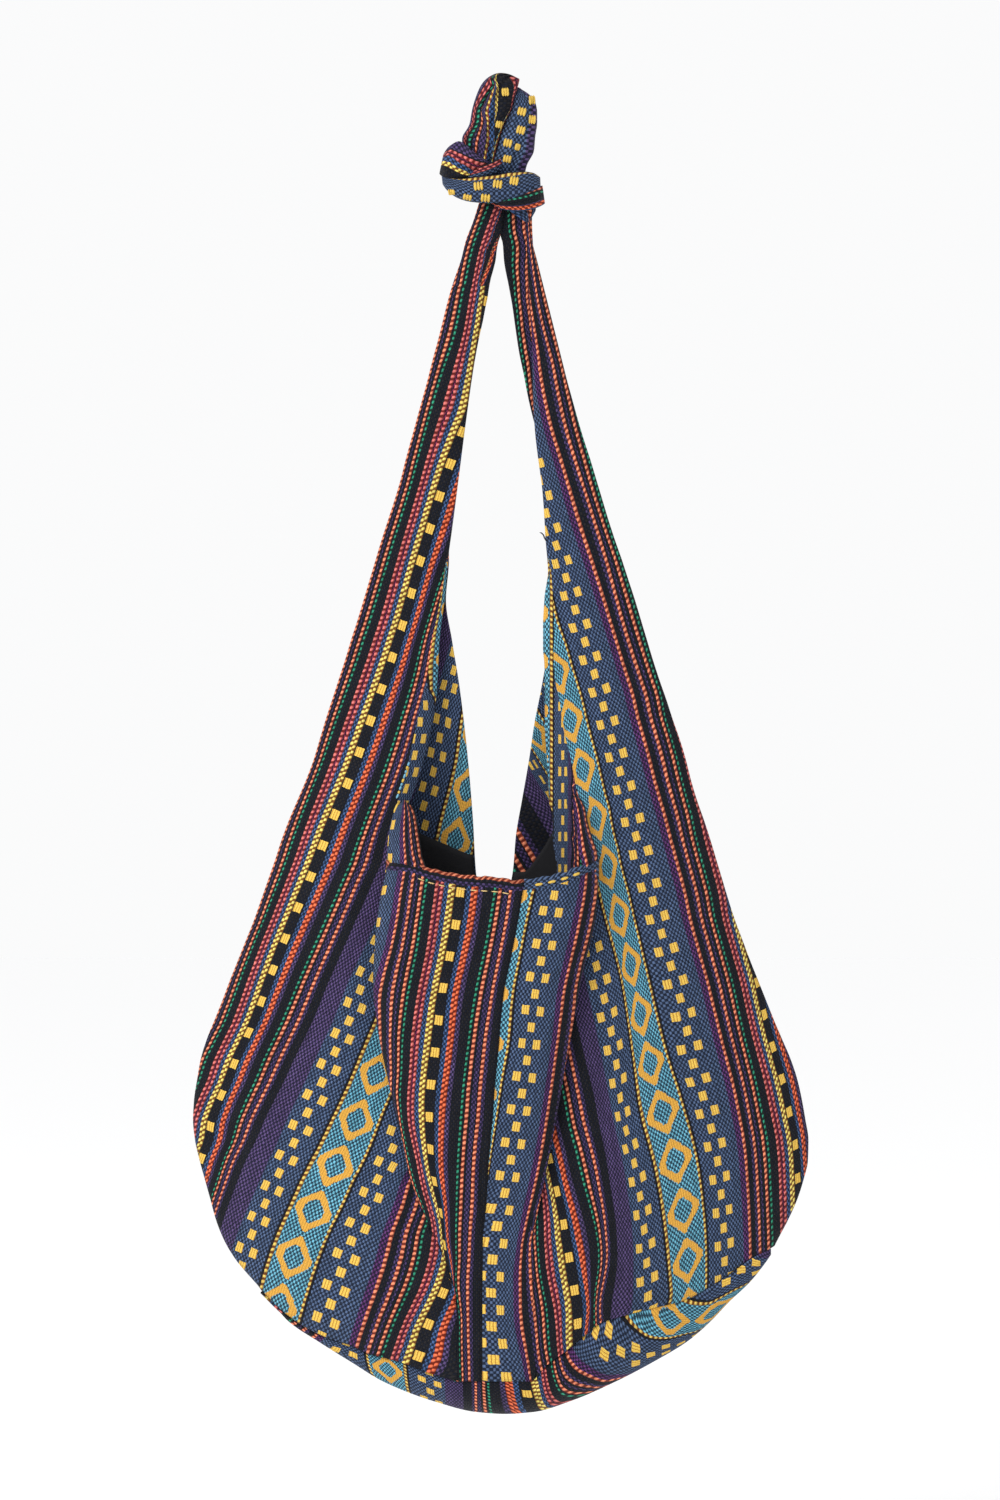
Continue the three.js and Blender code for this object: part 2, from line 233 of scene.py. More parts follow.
_lip_r = """
529.5 522 514 507 503 498 494.5 490 485 481 479 478 478
538 529 521 514.5 511 504 499 493 488 484 482 481 481
561 553 545 538 533 528 521 515 509 504 500 500 503
582 574 566 558 553.5 547 540 534 526 519 514 516 524
586 579 571 563 557.5 551 543.5 538 530 522.5 518 521 528
596 590 582 575 570 563 555 548 538 530 526 536 541
604 599 591 584 578 571 563 555 545 535 534 546 547"""
_cols = [[float(q) for q in r.split()] for r in _lip_r.strip().splitlines()]
LIP_R = Lines({880 + 40 * i: [(u, c[i]) for u, c in zip([43, 50, 73, 95, 101, 113.5, 124], _cols)] for i in range(13)},
              36, 160, 70, 1040, soft=1.5)

RIGHT = Lines(table([110, 129, 141, 156, 178.5, 197.7, 214, 228.5, 248.5, 286.5, 336.7, 387.2, 411, 427.5, 442.7, 465, 480], """
206: 387.2>522 400>527 411>530 416>531
254: 387.2>524 400>531.6 411>535.4 416>537.5
300: 370>517 387.2>529.5 400>537.5 411>544.2 416>548.5
330: 370>521 387.2>534 400>543.3 411>551 416>555
360: 370>525 387.2>537.2 400>551.7 411>559.5 416>563
397: 336.7>508 370>531 387.2>544 400>559 411>568.5 416>573
424: 336.7>514 370>537 387.2>550.4 400>565.2 411>575 416>580
460: 336.7>519 387.2>561 400>576.5 411>586.5 416>592
497: 336.7>528 387.2>572 400>588.8 411>597.5 416>603
540: 336.7>538 387.2>585.3 400>602 411>611.3 416>616
620: 286.5>520 336.7>561 387.2>610 411>634
700: 286.5>546 311.5>564 336.7>584 387.2>633 411>657 427.5>669
780: 286.5>567 311.5>585 336.7>604.5 387.2>654 411>678 427.5>690 442.7>702
860: 228.5>542 248.5>559 272.6>578 286.5>589 311.5>605.5 336.7>621.8 347.7>634.3 355.7>641.5 363.7>650.5 387.2>675.5 411>697 427.5>710 442.7>722 465>739 480>750
900: 228.5>550 248.5>567 272.6>586 286.5>598.3 311.5>615 336.7>632.4 347.7>644.6 355.7>652.3 363.7>660.5 387.2>685 411>706 427.5>718.5 442.7>730 465>745 480>755
940: 110>455 129>472 141>483 156>497 178.5>517 197.7>534 214>548 228.5>559 248.5>576 265>590 272.6>597 286.5>609 311.5>624.5 336.7>641.7 347.7>655.6 355.7>662.8 363.7>671.5 387.2>694.5 411>715.5 427.5>727.5 442.7>738 465>752 480>761
980: 110>462 129>479 141>490 156>504 178.5>524 197.7>541 214>555 228.5>567 248.5>584.5 257.2>592.5 265>599.7 272.6>607.4 286.5>619.5 311.5>633 336.7>651 347.7>666 355.7>673.8 363.7>682.7 387.2>705 411>725.5 427.5>737.8 442.7>748 465>762 480>771
1020: 110>471 129>488 141>499 156>512 178.5>532 197.7>549 214>563 228.5>575.5 248.5>593 257.2>601.7 265>609.2 272.6>615.7 286.5>625.8 311.5>640.5 336.7>660.7 347.7>676.6 355.7>685.3 363.7>693 387.2>715.5 411>735.5 427.5>748 442.7>758.5 465>772 480>781
1060: 110>482 129>498 141>509 156>522 178.5>541 197.7>557 214>571.5 228.5>585 248.5>601.5 265>616.5 286.5>631.5 311.5>648.5 336.7>671 387.2>725.5 411>745 427.5>758 442.7>769 465>784 480>793
1100: 491 507 517 530 549 565 579.5 594.5 609 636 684 735 754 767.5 779 794 804
1180: 520 533 541 549 564.5 583 598 609 625 655 703 747 766 780 792 806 814
1260: 110>527 129>537.5 141>545.5 156>560 178.5>582 197.7>599 214>607 228.5>617 248.5>632.5 286.5>665.5 336.7>709 387.2>750 400>760
1310: 101>523 113.5>537.5 124>545 129>549 141>557 156>570 165.5>579 178.5>590 197.7>594 203>596 214>599 228.5>610 248.5>632 286.5>669 336.7>708
1332: 101>527 113.5>537.5 124>544 129>548 141>557 156>567 165.5>579 178.5>585
1380: 95>527 113.5>543 124>550 141>562 178.5>592"""), 60, 520, 312, 1040)

# where the woven figures fall along the warp
LEFT.V += curve("-121:39 -21.5:40 25:40.6")(LEFT.u)[None]
LIP_L.V = LIP_L.V * 1.0348 + 154.46
LIP_R.V -= 4.0
RIGHT.V += curve("100:-31 165.5:-30.6 230:-36 257.2:-37.7 272.6:-34.2 290:-28 311.5:-19.6 330:-16 347.7:-17.9 355.7:-16.2"
                 " 363.7:-15.4 400:-10 452:-0.8 500:5")(RIGHT.u)[None]

# ------------------------------------------------------------------ edges of what shows, as u or x by height
U_SIDE_L = curve("206:-174 1020:-174 1040:-170 1060:-164 1080:-160 1100:-152 1120:-144 1140:-138 1160:-121 1180:-108 1200:-90"
                 " 1220:-73 1240:-50 1260:-33 1280:-6 1300:15 1320:34 1340:62 1360:112 1380:205")
NECK_PAIR = curve("196:505 206:501 228:493 240:489 250:484.5 264:481.8 274:479.2 285:476.8 300:474")
NECK_T = curve("196:520 236:500 240:497.3 250:492 264:488 274:484.3 285:479.8 300:474.5")
U_IN_L = curve("196:-131 228:-124 250:-121 290:-121.7 304:-122.5 334:-125.5 380:-127 405:-126.5 431:-121 480:-110 540:-98 600:-79 640:-72 700:-69 760:-62 800:-57 862:-51")
FOLD_L = curve("862:388 900:380 940:375 985:373 1030:378 1080:388 1130:400 1183:411 1213:424 1236:434 1256:443.5 1296:455 1340:458 1384:460")
UA_L = curve("862:-51 880:-46.5 900:-42 920:-36 940:-29.5 980:-12.5 1020:4 1040:15 1080:39 1120:64 1160:86 1183:103 1200:114 1220:129 1236:142 1256:155 1296:177 1340:193 1384:195")
UB_L = curve("862:74 900:75 940:78 970:87 1000:95 1040:100 1070:106 1100:116 1130:120 1150:121 1183:120 1200:122 1213:128 1236:143 1256:156 1296:178 1340:195 1384:198")
H_L = curve("862:62 890:60 1020:44 1120:29 1160:19 1200:6 1228:0")
DEPTH_L = curve("196:0 300:1 500:4 600:7 700:13 800:22 862:28 900:30 1000:34 1100:38 1200:42 1300:41 1350:38 1390:34")

U_SIDE_R = curve("206:414 360:414 420:416 480:418 600:419 690:421 720:427 810:430 840:434 890:436 920:443 950:448 980:453 1010:462"
                 " 1040:470 1070:474 1130:474 1160:468 1190:452 1220:433 1240:412 1260:398 1280:368 1300:300 1320:235 1340:172 1360:140 1380:100")
U_IN_R = curve("196:395 206:395 254:393 300:388 330:384 360:379 384:377 410:373 430:370 448:366 467:361.5 512:355.5 540:348 560:342 575:340 600:334.5 620:330 648:317 661:312 685:305 721:301 740:300 773:298 800:296 840:297 862:297")
FOLD_R = curve("862:597 890:598 915:596 940:591 958:586 1035:571 1137:553 1221:536 1245:531 1300:533 1384:536")
UA_R = curve("862:297 890:289 905:283.5 920:277 935:269 950:260 965:252 980:245 1010:231 1040:217.5 1070:205 1100:192 1130:180 1160:163 1190:142 1220:128 1250:117 1280:115.5 1320:112 1384:107")
UB_R = curve("862:115 890:116 920:118 980:119 1010:116 1070:112 1130:110 1190:112 1220:115 1250:115.5 1280:115 1320:112 1384:107")
H_R = curve("862:78 890:76 950:70 1010:58 1040:46 1100:34 1160:22 1200:10 1234:0")
DEPTH_R = curve("196:0 300:1 500:4 600:7 700:13 800:22 862:28 900:30 1000:34 1100:38 1200:42 1250:42 1300:40 1350:38 1390:34")

SEAM_U_L = 228.4
SEAM_U_R = curve("862:38 1041:38.6 1090:40 1112:41.5 1140:43.5 1167:46 1180:49 1195:55 1220:60 1290:63 1384:62")
HEM = curve("388:862 417:864 440:871 475:878 500:880 520:883 535:881 560:875 575:869 586:864.5 597:861")
LIP_D = curve("862:61 900:62 1000:62 1100:61 1180:58 1250:52 1320:44 1384:36")
BELLY = curve("196:2 300:4 500:9 700:24 862:50 1000:55 1100:56 1200:54 1300:46 1340:41 1384:35 1413:26")


def crown(x, y, power=0.75):
    l, r = full_left(y), full_right(y)
    s = np.clip((x - l) / np.maximum(r - l, 1e-6), 0, 1)
    return np.sin(np.pi * s) ** power


def belly(x, y):
    return BELLY(y) * crown(x, y)


def ripple(x, y, seed, size=1.0):
    """Slow, shallow unevenness of hanging cloth, in millimetres."""
    rng = np.random.default_rng(seed)
    out = np.zeros(np.broadcast(x, y).shape)
    for _ in range(7):
        a = rng.uniform(-0.5, 0.5)
        wave = rng.uniform(38, 120)
        out = out + np.sin((x * math.cos(a) + y * math.sin(a) * 0.6) / wave * 2 * math.pi + rng.uniform(0, 6.3)) * wave / 120
    return out * 0.35 * size


# ------------------------------------------------------------------ mesh making
def weld(blocks):
    """One vertex list from several grids that share edges. A grid is (points, uv)."""
    index, verts, faces, uvs = {}, [], [], []
    for P, UV, flip in blocks:
        R, C = P.shape[:2]
        ids = np.empty((R, C), int)
        for r in range(R):
            for c in range(C):
                key = tuple(np.round(P[r, c] * 2e6).astype(int))
                if key not in index:
                    index[key] = len(verts)
                    verts.append(P[r, c])
                ids[r, c] = index[key]
        for r in range(R - 1):
            for c in range(C - 1):
                q = [(r, c), (r + 1, c), (r + 1, c + 1), (r, c + 1)]
                if flip:
                    q = q[::-1]
                f, g = [], []
                for rc in q:
                    i = ids[rc]
                    if i not in f:
                        f.append(int(i))
                        g.append(UV[rc])
                if len(f) >= 3:
                    faces.append(f)
                    uvs.append(g)
    return verts, faces, uvs


def cloth(name, blocks, thick, mat, cad, offset=-1.0):
    verts, faces, uvs = weld(blocks)
    me = bpy.data.meshes.new(name)
    me.from_pydata([tuple(v) for v in verts], [], faces)
    layer = me.uv_layers.new(name="Weave")
    flat = np.array([w for g in uvs for w in g], float)
    layer.data.foreach_set("uv", (flat / REP).ravel())
    me.polygons.foreach_set("use_smooth", [True] * len(me.polygons))
    me.update()
    ob = bpy.data.objects.new(name, me)
    bpy.context.scene.collection.objects.link(ob)
    if thick:
        so = ob.modifiers.new("cloth", "SOLIDIFY")
        so.thickness = thick / 1000
        so.offset = offset
        so.use_quality_normals = True
        dg = bpy.context.evaluated_depsgraph_get()
        done = bpy.data.meshes.new_from_object(ob.evaluated_get(dg))
        ob.modifiers.clear()
        ob.data = done
        done.name = name
        done.polygons.foreach_set("use_smooth", [True] * len(done.polygons))
    else:
        bm = bmesh.new()
        bm.from_mesh(me)
        bmesh.ops.recalc_face_normals(bm, faces=bm.faces)
        bm.to_mesh(me)
        bm.free()
    ob.data.materials.clear()
    ob.data.materials.append(mat)
    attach(ob, "root")
    if cad:
        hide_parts(*cad)
    return ob


# ------------------------------------------------------------------ materials
def lin(c):
    return tuple(((q / 255) / 12.92 if q <= 10 else ((q / 255 + 0.055) / 1.055) ** 2.4) for q in c) + (1.0,)


class Nodes:
    """Short way of writing a node tree."""

    def __init__(self, mat):
        mat.use_nodes = True
        self.t = mat.node_tree
        self.t.nodes.clear()

    def new(self, kind):
        return self.t.nodes.new(kind)

    def link(self, a, socket):
        if hasattr(a, "is_output"):
            self.t.links.new(a, socket)
        else:
            socket.default_value = a

    def m(self, op, a, b=None, c=None, clamp=False):
        n = self.new("ShaderNodeMath")
        n.operation = op
        n.use_clamp = clamp
        for s, q in zip(n.inputs, (a, b, c)):
            if q is not None:
                self.link(q, s)
        return n.outputs[0]

    def mix(self, f, a, b, blend="MIX"):
        n = self.new("ShaderNodeMix")
        n.data_type = "RGBA"
        n.blend_type = blend
        self.link(f, n.inputs["Factor"])
        self.link(a, [s for s in n.inputs if s.identifier == "A_Color"][0])
        self.link(b, [s for s in n.inputs if s.identifier == "B_Color"][0])
        return [s for s in n.outputs if s.identifier == "Result_Color"][0]

    def ramp(self, f, stops):
        n = self.new("ShaderNodeValToRGB")
        n.color_ramp.interpolation = "CONSTANT"
        e = n.color_ramp.elements
        while len(e) > 1:
            e.remove(e[-1])
        e[0].position, e[0].color = stops[0]
        for p, c in stops[1:]:
            q = e.new(p)
            q.color = c
        self.link(f, n.inputs[0])
        return n.outputs[0]


NAVY, P2C, P1C, BLK = (80, 99, 132), (88, 72, 116), (94, 54, 108), (33, 32, 35)
ORANGE, THICK, PINK, RED = (240, 144, 108), (238, 116, 76), (220, 118, 112), (118, 40, 72)
YELLOW, GOLD, GREEN, SKY = (236, 214, 112), (238, 198, 90), (52, 148, 116), (106, 174, 198)
PALE = (222, 190, 96)
BLUE, DIM = (66, 94, 140), (74, 60, 102)
STRIPES = [(0, BLK), (2.2, PALE), (4.6, SKY), (45.6, PALE), (48, BLK), (50.2, NAVY), (92, P1C), (99.0, ORANGE), (102.4, BLK),
           (108, DIM), (111, BLK), (111.8, ORANGE), (115.2, BLK), (117, DIM), (119.5, BLK), (122.7, ORANGE), (126.1, BLK), (127.8, GREEN),
           (130.6, BLK), (139.3, PINK), (142.5, RED), (144.8, PINK), (148, BLUE), (153.3, YELLOW), (159, BLK), (170.5, BLUE),
           (175.4, THICK), (181.4, P2C), (186, BLK), (196.2, GREEN), (199, BLK), (201.3, ORANGE), (204.7, BLK), (206, DIM), (210.5, BLK),
           (212.3, ORANGE), (215.7, DIM), (218.5, BLK), (228.5, P2C), (248.5, NAVY)]
# stripes of one or two thick yarns, each a row of beads: from, to, phase
BEADS = [(2.2, 4.6, 0), (45.6, 48, 0), (99.0, 102.4, 0), (111.8, 115.2, 1), (122.7, 126.1, 0), (127.8, 130.6, 1), (139.3, 142.5, 0),
         (144.8, 148, 1), (153.3, 156.1, 0), (156.1, 159, 1), (175.4, 178.4, 0), (178.4, 181.4, 1), (196.2, 199, 1), (201.3, 204.7, 0),
         (212.3, 215.7, 1)]
DOTS, DIAMONDS = 33.5, 50.25       # pitch along the warp
DIAMOND_AT = -4.2
YARN_U, YARN_V = REP / 143, DOTS / 12


def woven_material():
    mat = bpy.data.materials.new("woven_cloth")
    k = Nodes(mat)
    uvn = k.new("ShaderNodeUVMap")
    uvn.uv_map = "Weave"
    sep = k.new("ShaderNodeSeparateXYZ")
    k.link(uvn.outputs[0], sep.inputs[0])
    # a little waviness, so that no yarn is dead straight
    wob = k.new("ShaderNodeTexNoise")
    wob.inputs["Scale"].default_value = 70.0
    wob.inputs["Detail"].default_value = 1.0
    k.link(uvn.outputs[0], wob.inputs["Vector"])
    wsep = k.new("ShaderNodeSeparateXYZ")
    k.link(wob.outputs["Color"], wsep.inputs[0])
    U = k.m("ADD", k.m("MULTIPLY", sep.outputs[0], REP), k.m("MULTIPLY_ADD", wsep.outputs[0], 1.1, -0.55))
    V = k.m("ADD", k.m("MULTIPLY", sep.outputs[1], REP), k.m("MULTIPLY_ADD", wsep.outputs[1], 1.6, -0.8))
    cu, cv = k.m("DIVIDE", U, YARN_U), k.m("DIVIDE", V, YARN_V)
    iu, iv = k.m("FLOOR", cu), k.m("FLOOR", cv)
    fu = k.m("SUBTRACT", k.m("SUBTRACT", cu, iu), 0.5)
    fv = k.m("SUBTRACT", k.m("SUBTRACT", cv, iv), 0.5)
    over = k.m("FLOORED_MODULO", k.m("ADD", iu, iv), 2.0)            # 1 where the warp lies on top
    Um = k.m("FLOORED_MODULO", U, REP)
    t = k.m("DIVIDE", Um, REP)
    half = 20
    edges = [(a / REP, lin(c)) for a, c in STRIPES]
    low = k.ramp(t, edges[:half])
    high = k.ramp(t, [(0.0, edges[half - 1][1])] + edges[half:])
    warp = k.mix(k.m("GREATER_THAN", t, edges[half][0]), low, high)

    # rows of beads: red holds the middle of the row, green its phase, blue where there is one
    stops = [(0.0, (0, 0, 0, 1))]
    for a, b, ph in BEADS:
        if abs(stops[-1][0] - a / REP) < 1e-6:
            stops.pop()
        stops.append((a / REP, ((a + b) / 2 / REP, ph, 1, 1)))
        stops.append((b / REP, (0, 0, 0, 1)))
    bead = k.ramp(t, stops)
    bsep = k.new("ShaderNodeSeparateColor")
    k.link(bead, bsep.inputs[0])
    is_bead = k.m("GREATER_THAN", bsep.outputs[2], 0.5)
    bu = k.m("DIVIDE", k.m("SUBTRACT", Um, k.m("MULTIPLY", bsep.outputs[0], REP)), 3.2)
    slant = k.m("MULTIPLY_ADD", bu, 0.22, k.m("DIVIDE", V, 2 * YARN_V))
    bv = k.m("COSINE", k.m("MULTIPLY", k.m("ADD", slant, k.m("MULTIPLY", bsep.outputs[1], 0.5)), 2 * math.pi))
    bead_h = k.m("MULTIPLY", k.m("SUBTRACT", 1.0, k.m("MULTIPLY", k.m("MULTIPLY", bu, bu), 2.4)), k.m("MULTIPLY_ADD", bv, 0.5, 0.5))
    bead_on = k.m("MULTIPLY_ADD", bv, 1.7, k.m("MULTIPLY_ADD", k.m("MULTIPLY", bu, bu), -3.0, 0.8), clamp=True)

    # figures woven in the stripes
    near = k.m("MINIMUM", k.m("ABSOLUTE", k.m("SUBTRACT", Um, 69.2)), k.m("ABSOLUTE", k.m("SUBTRACT", Um, 265.0)))
    dv = k.m("PINGPONG", V, DOTS / 2)
    pair = k.m("MULTIPLY", k.m("LESS_THAN", k.m("ABSOLUTE", k.m("SUBTRACT", near, 7.9)), 3.8), k.m("LESS_THAN", dv, 4.7))
    one = k.m("MULTIPLY", k.m("LESS_THAN", near, 3.8), k.m("GREATER_THAN", dv, DOTS / 2 - 4.7))
    square = k.m("MULTIPLY", k.m("LESS_THAN", k.m("ABSOLUTE", k.m("SUBTRACT", Um, 165.2)), 4.1), k.m("LESS_THAN", dv, 4.9))
    dots = k.m("MAXIMUM", k.m("MAXIMUM", pair, one), square)
    # each dot is a few floats side by side
    bar = k.m("ABSOLUTE", k.m("SUBTRACT", k.m("FRACT", k.m("DIVIDE", U, 2.6)), 0.5))
    barm = k.m("MULTIPLY", k.m("GREATER_THAN", bar, 0.34), 0.75)
    gold = k.mix(barm, lin(GOLD), lin((176, 118, 44)))
    ustep, vstep = k.m("MULTIPLY", k.m("ADD", k.m("FLOOR", k.m("DIVIDE", Um, 1.3)), 0.5), 1.3), k.m("ADD", V, DIAMOND_AT)
    du = k.m("ABSOLUTE", k.m("SUBTRACT", ustep, 25.1))
    ddv = k.m("PINGPONG", k.m("MULTIPLY", k.m("ADD", k.m("FLOOR", k.m("DIVIDE", vstep, 1.4)), 0.5), 1.4), DIAMONDS / 2)
    rr = k.m("ADD", k.m("DIVIDE", du, 20.5), k.m("DIVIDE", ddv, 24.0))
    flat = k.m("MAXIMUM", k.m("DIVIDE", du, 17.5), k.m("DIVIDE", ddv, 22.5))
    r2 = k.m("MAXIMUM", rr, flat)
    r1 = k.m("MAXIMUM", k.m("DIVIDE", rr, 0.62), k.m("DIVIDE", flat, 0.56))
    ring = k.m("MULTIPLY", k.m("LESS_THAN", r2, 1.0), k.m("GREATER_THAN", r1, 1.0))
    ring = k.m("MULTIPLY", ring, k.m("MULTIPLY", k.m("GREATER_THAN", Um, 4.6), k.m("LESS_THAN", Um, 45.6)))
    mustard = k.mix(k.m("MULTIPLY", k.m("GREATER_THAN", bar, 0.36), 0.5), lin((226, 170, 72)), lin((150, 102, 42)))

    # yarns: rounded crowns, the ones below lower and darker; these heights also drive a painted shade, darker in the
    # gaps between yarns and a little lighter on the crowns
    pu1 = k.m("SUBTRACT", 1.0, k.m("MULTIPLY", k.m("MULTIPLY", fu, fu), 3.4))
    pv1 = k.m("SUBTRACT", 1.0, k.m("MULTIPLY", k.m("MULTIPLY", fv, fv), 3.4))
    pu2 = k.m("SUBTRACT", 1.0, k.m("MULTIPLY", k.m("MULTIPLY", fu, fu), 1.6))
    pv2 = k.m("SUBTRACT", 1.0, k.m("MULTIPLY", k.m("MULTIPLY", fv, fv), 1.6))
    hw, hf = k.m("MULTIPLY", pu1, pv2), k.m("MULTIPLY", k.m("MULTIPLY", pu2, pv1), 0.7)
    plain_h = k.m("ADD", k.m("MULTIPLY", hw, over), k.m("MULTIPLY", hf, k.m("SUBTRACT", 1.0, over)))
    height = k.m("ADD", k.m("MULTIPLY", plain_h, k.m("SUBTRACT", 1.0, is_bead)), k.m("MULTIPLY", bead_h, is_bead))
    on = k.m("ADD", k.m("MULTIPLY", over, k.m("SUBTRACT", 1.0, is_bead)), k.m("MULTIPLY", bead_on, is_bead))
    weft = k.mix(0.4, k.mix(1.0, warp, (0.2, 0.2, 0.22, 1.0), "MULTIPLY"), lin((33, 40, 58)))
    under = k.mix(is_bead, weft, k.mix(1.0, warp, (0.42, 0.2, 0.2, 1.0), "MULTIPLY"))
    ground = k.mix(on, under, warp)
    # yarn by yarn and slub differences
    wn = k.new("ShaderNodeTexWhiteNoise")
    wn.noise_dimensions = "2D"
    comb = k.new("ShaderNodeCombineXYZ")
    k.link(k.m("ADD", k.m("MULTIPLY", iu, over), k.m("MULTIPLY", iv, k.m("SUBTRACT", 1.0, over))), comb.inputs[0])
    k.link(k.m("FLOOR", k.m("DIVIDE", k.m("ADD", iu, iv), 7.0)), comb.inputs[1])
    k.link(comb.outputs[0], wn.inputs["Vector"])
    slub = k.new("ShaderNodeTexNoise")
    slub.inputs["Scale"].default_value = 24.0
    slub.inputs["Detail"].default_value = 4.0
    k.link(uvn.outputs[0], slub.inputs["Vector"])
    tone = k.m("ADD", k.m("MULTIPLY_ADD", wn.outputs["Value"], 0.42, 0.62), k.m("MULTIPLY", slub.outputs["Fac"], 0.36))
    tonec = k.new("ShaderNodeCombineColor")
    for q in tonec.inputs:
        k.link(tone, q)
    ground = k.mix(1.0, ground, tonec.outputs[0], "MULTIPLY")
    col = k.mix(ring, ground, mustard)
    col = k.mix(dots, col, gold)
    # painted shade: the colour is darkened where the yarns dip and between them, and lifted slightly on their crowns;
    # the floats of the dots and diamonds are kept nearly unshaded
    painted_yarn_shade = k.m("MULTIPLY_ADD", height, 0.7, 0.38)
    painted_yarn_shade = k.m("MAXIMUM", painted_yarn_shade, k.m("MULTIPLY", k.m("MAXIMUM", dots, ring), 0.93))
    painted_yarn_shade_rgb = k.new("ShaderNodeCombineColor")
    for q in painted_yarn_shade_rgb.inputs:
        k.link(painted_yarn_shade, q)
    col = k.mix(1.0, col, painted_yarn_shade_rgb.outputs[0], "MULTIPLY")

    bs = k.new("ShaderNodeBsdfPrincipled")
    k.link(col, bs.inputs["Base Color"])
    fuzz = k.new("ShaderNodeTexNoise")
    fuzz.inputs["Scale"].default_value = 900.0
    k.link(uvn.outputs[0], fuzz.inputs["Vector"])
    k.link(k.m("MULTIPLY_ADD", fuzz.outputs["Fac"], 0.2, 0.78), bs.inputs["Roughness"])
    bs.inputs["Specular IOR Level"].default_value = 0.12
    bs.inputs["Sheen Weight"].default_value = 0.03
    bs.inputs["Sheen Roughness"].default_value = 0.5
    bump = k.new("ShaderNodeBump")
    bump.inputs["Strength"].default_value = 0.6
    bump.inputs["Distance"].default_value = 0.0008
    raised = k.m("ADD", height, k.m("MULTIPLY", k.m("MAXIMUM", dots, ring), 0.35))
    k.link(k.m("ADD", raised, k.m("MULTIPLY", fuzz.outputs["Fac"], 0.25)), bump.inputs["Height"])
    k.link(bump.outputs[0], bs.inputs["Normal"])
    out = k.new("ShaderNodeOutputMaterial")
    k.link(bs.outputs[0], out.inputs["Surface"])
    return mat


def plain_material(name, colour, pitch, rough=0.85, depth=0.0003):
    mat = bpy.data.materials.new(name)
    k = Nodes(mat)
    uvn = k.new("ShaderNodeUVMap")
    uvn.uv_map = "Weave"
    sep = k.new("ShaderNodeSeparateXYZ")
    k.link(uvn.outputs[0], sep.inputs[0])
    a = k.m("MULTIPLY", sep.outputs[0], REP / pitch)
    b = k.m("MULTIPLY", sep.outputs[1], REP / pitch)
    s1 = k.m("SINE", k.m("MULTIPLY", a, math.pi))
    s2 = k.m("SINE", k.m("MULTIPLY", b, math.pi))
    h = k.m("MULTIPLY", k.m("MULTIPLY", s1, s2), 0.5)
    noise = k.new("ShaderNodeTexNoise")
    noise.inputs["Scale"].default_value = 40.0
    noise.inputs["Detail"].default_value = 5.0
    k.link(uvn.outputs[0], noise.inputs["Vector"])
    # painted shade and highlight: the colour is darker in the weave's hollows and lighter on its crowns, following the
    # bump height; the noise adds random tone
    f = k.m("ADD", k.m("MULTIPLY_ADD", h, 0.5, 0.3), k.m("MULTIPLY", noise.outputs["Fac"], 0.5), clamp=True)
    col = k.mix(f, tuple(q * 0.55 for q in lin(colour)[:3]) + (1.0,), tuple(min(1, q * 1.35) for q in lin(colour)[:3]) + (1.0,))
    bs = k.new("ShaderNodeBsdfPrincipled")
    k.link(col, bs.inputs["Base Color"])
    k.link(k.m("MULTIPLY_ADD", noise.outputs["Fac"], 0.2, rough - 0.1), bs.inputs["Roughness"])
    bs.inputs["Specular IOR Level"].default_value = 0.25
    bump = k.new("ShaderNodeBump")
    bump.inputs["Strength"].default_value = 0.5
    bump.inputs["Distance"].default_value = depth
    k.link(h, bump.inputs["Height"])
    k.link(bump.outputs[0], bs.inputs["Normal"])
    out = k.new("ShaderNodeOutputMaterial")
    k.link(bs.outputs[0], out.inputs["Surface"])
    return mat


WOVEN = woven_material()
LINING = plain_material("lining_cloth", (34, 34, 37), 0.9)
CREAM = plain_material("topstitch_thread", (226, 192, 130), 0.8)
GOLD_YARN = plain_material("gold_yarn", (224, 186, 84), 0.8)
DARK = plain_material("dark_thread", (38, 38, 52), 0.8)
SKY_YARN = plain_material("blue_yarn", (120, 178, 206), 0.8)

# ------------------------------------------------------------------ front panels
NA, NF, NL = 62, 34, 46
STEP = 4.0


def side_profile(s, din):
    """Depth from the side seam (0) to the inner edge (1)."""
    return din * np.sin(np.pi / 2 * np.clip(s, 0, 1)) ** 0.85


def fold_path(n, h, dA, dE, R2):
    """From under the lip's edge inwards, round, and back out to the edge: offsets in x and depth."""
    g = dE - dA
    mid = dE - R2
    r1 = max((mid - dA) / 2, 0.05)
    r1x = min(r1 / 0.65, max(h, 0.01) * 0.5)
    r2x = min(R2 / 0.65, max(h, 0.01) * 0.5)
    pts = [(0, dA)]
    for t in np.linspace(0.2, 1, 5):
        pts.append((t * (h - r1x), dA))
    for a in np.linspace(-90, 90, 9)[1:]:
        pts.append((h - r1x + r1x * math.cos(math.radians(a)), (mid + dA) / 2 + (mid - dA) / 2 * math.sin(math.radians(a))))
    for t in np.linspace(0.2, 1, 5):
        pts.append(((h - r1x) * (1 - t) + r2x * t, mid))
    for a in np.linspace(0, 90, 6)[1:]:
        pts.append((r2x * (1 - math.sin(math.radians(a))), mid + R2 * (1 - math.cos(math.radians(a)))))
    p = np.array(pts)
    q = p * np.array([0.65, 1.0])
    L = np.concatenate([[0], np.cumsum(np.linalg.norm(np.diff(q, axis=0), axis=1))])
    t = np.linspace(0, L[-1], n)
    return np.interp(t, L, p[:, 0]), np.interp(t, L, p[:, 1]), t / L[-1]


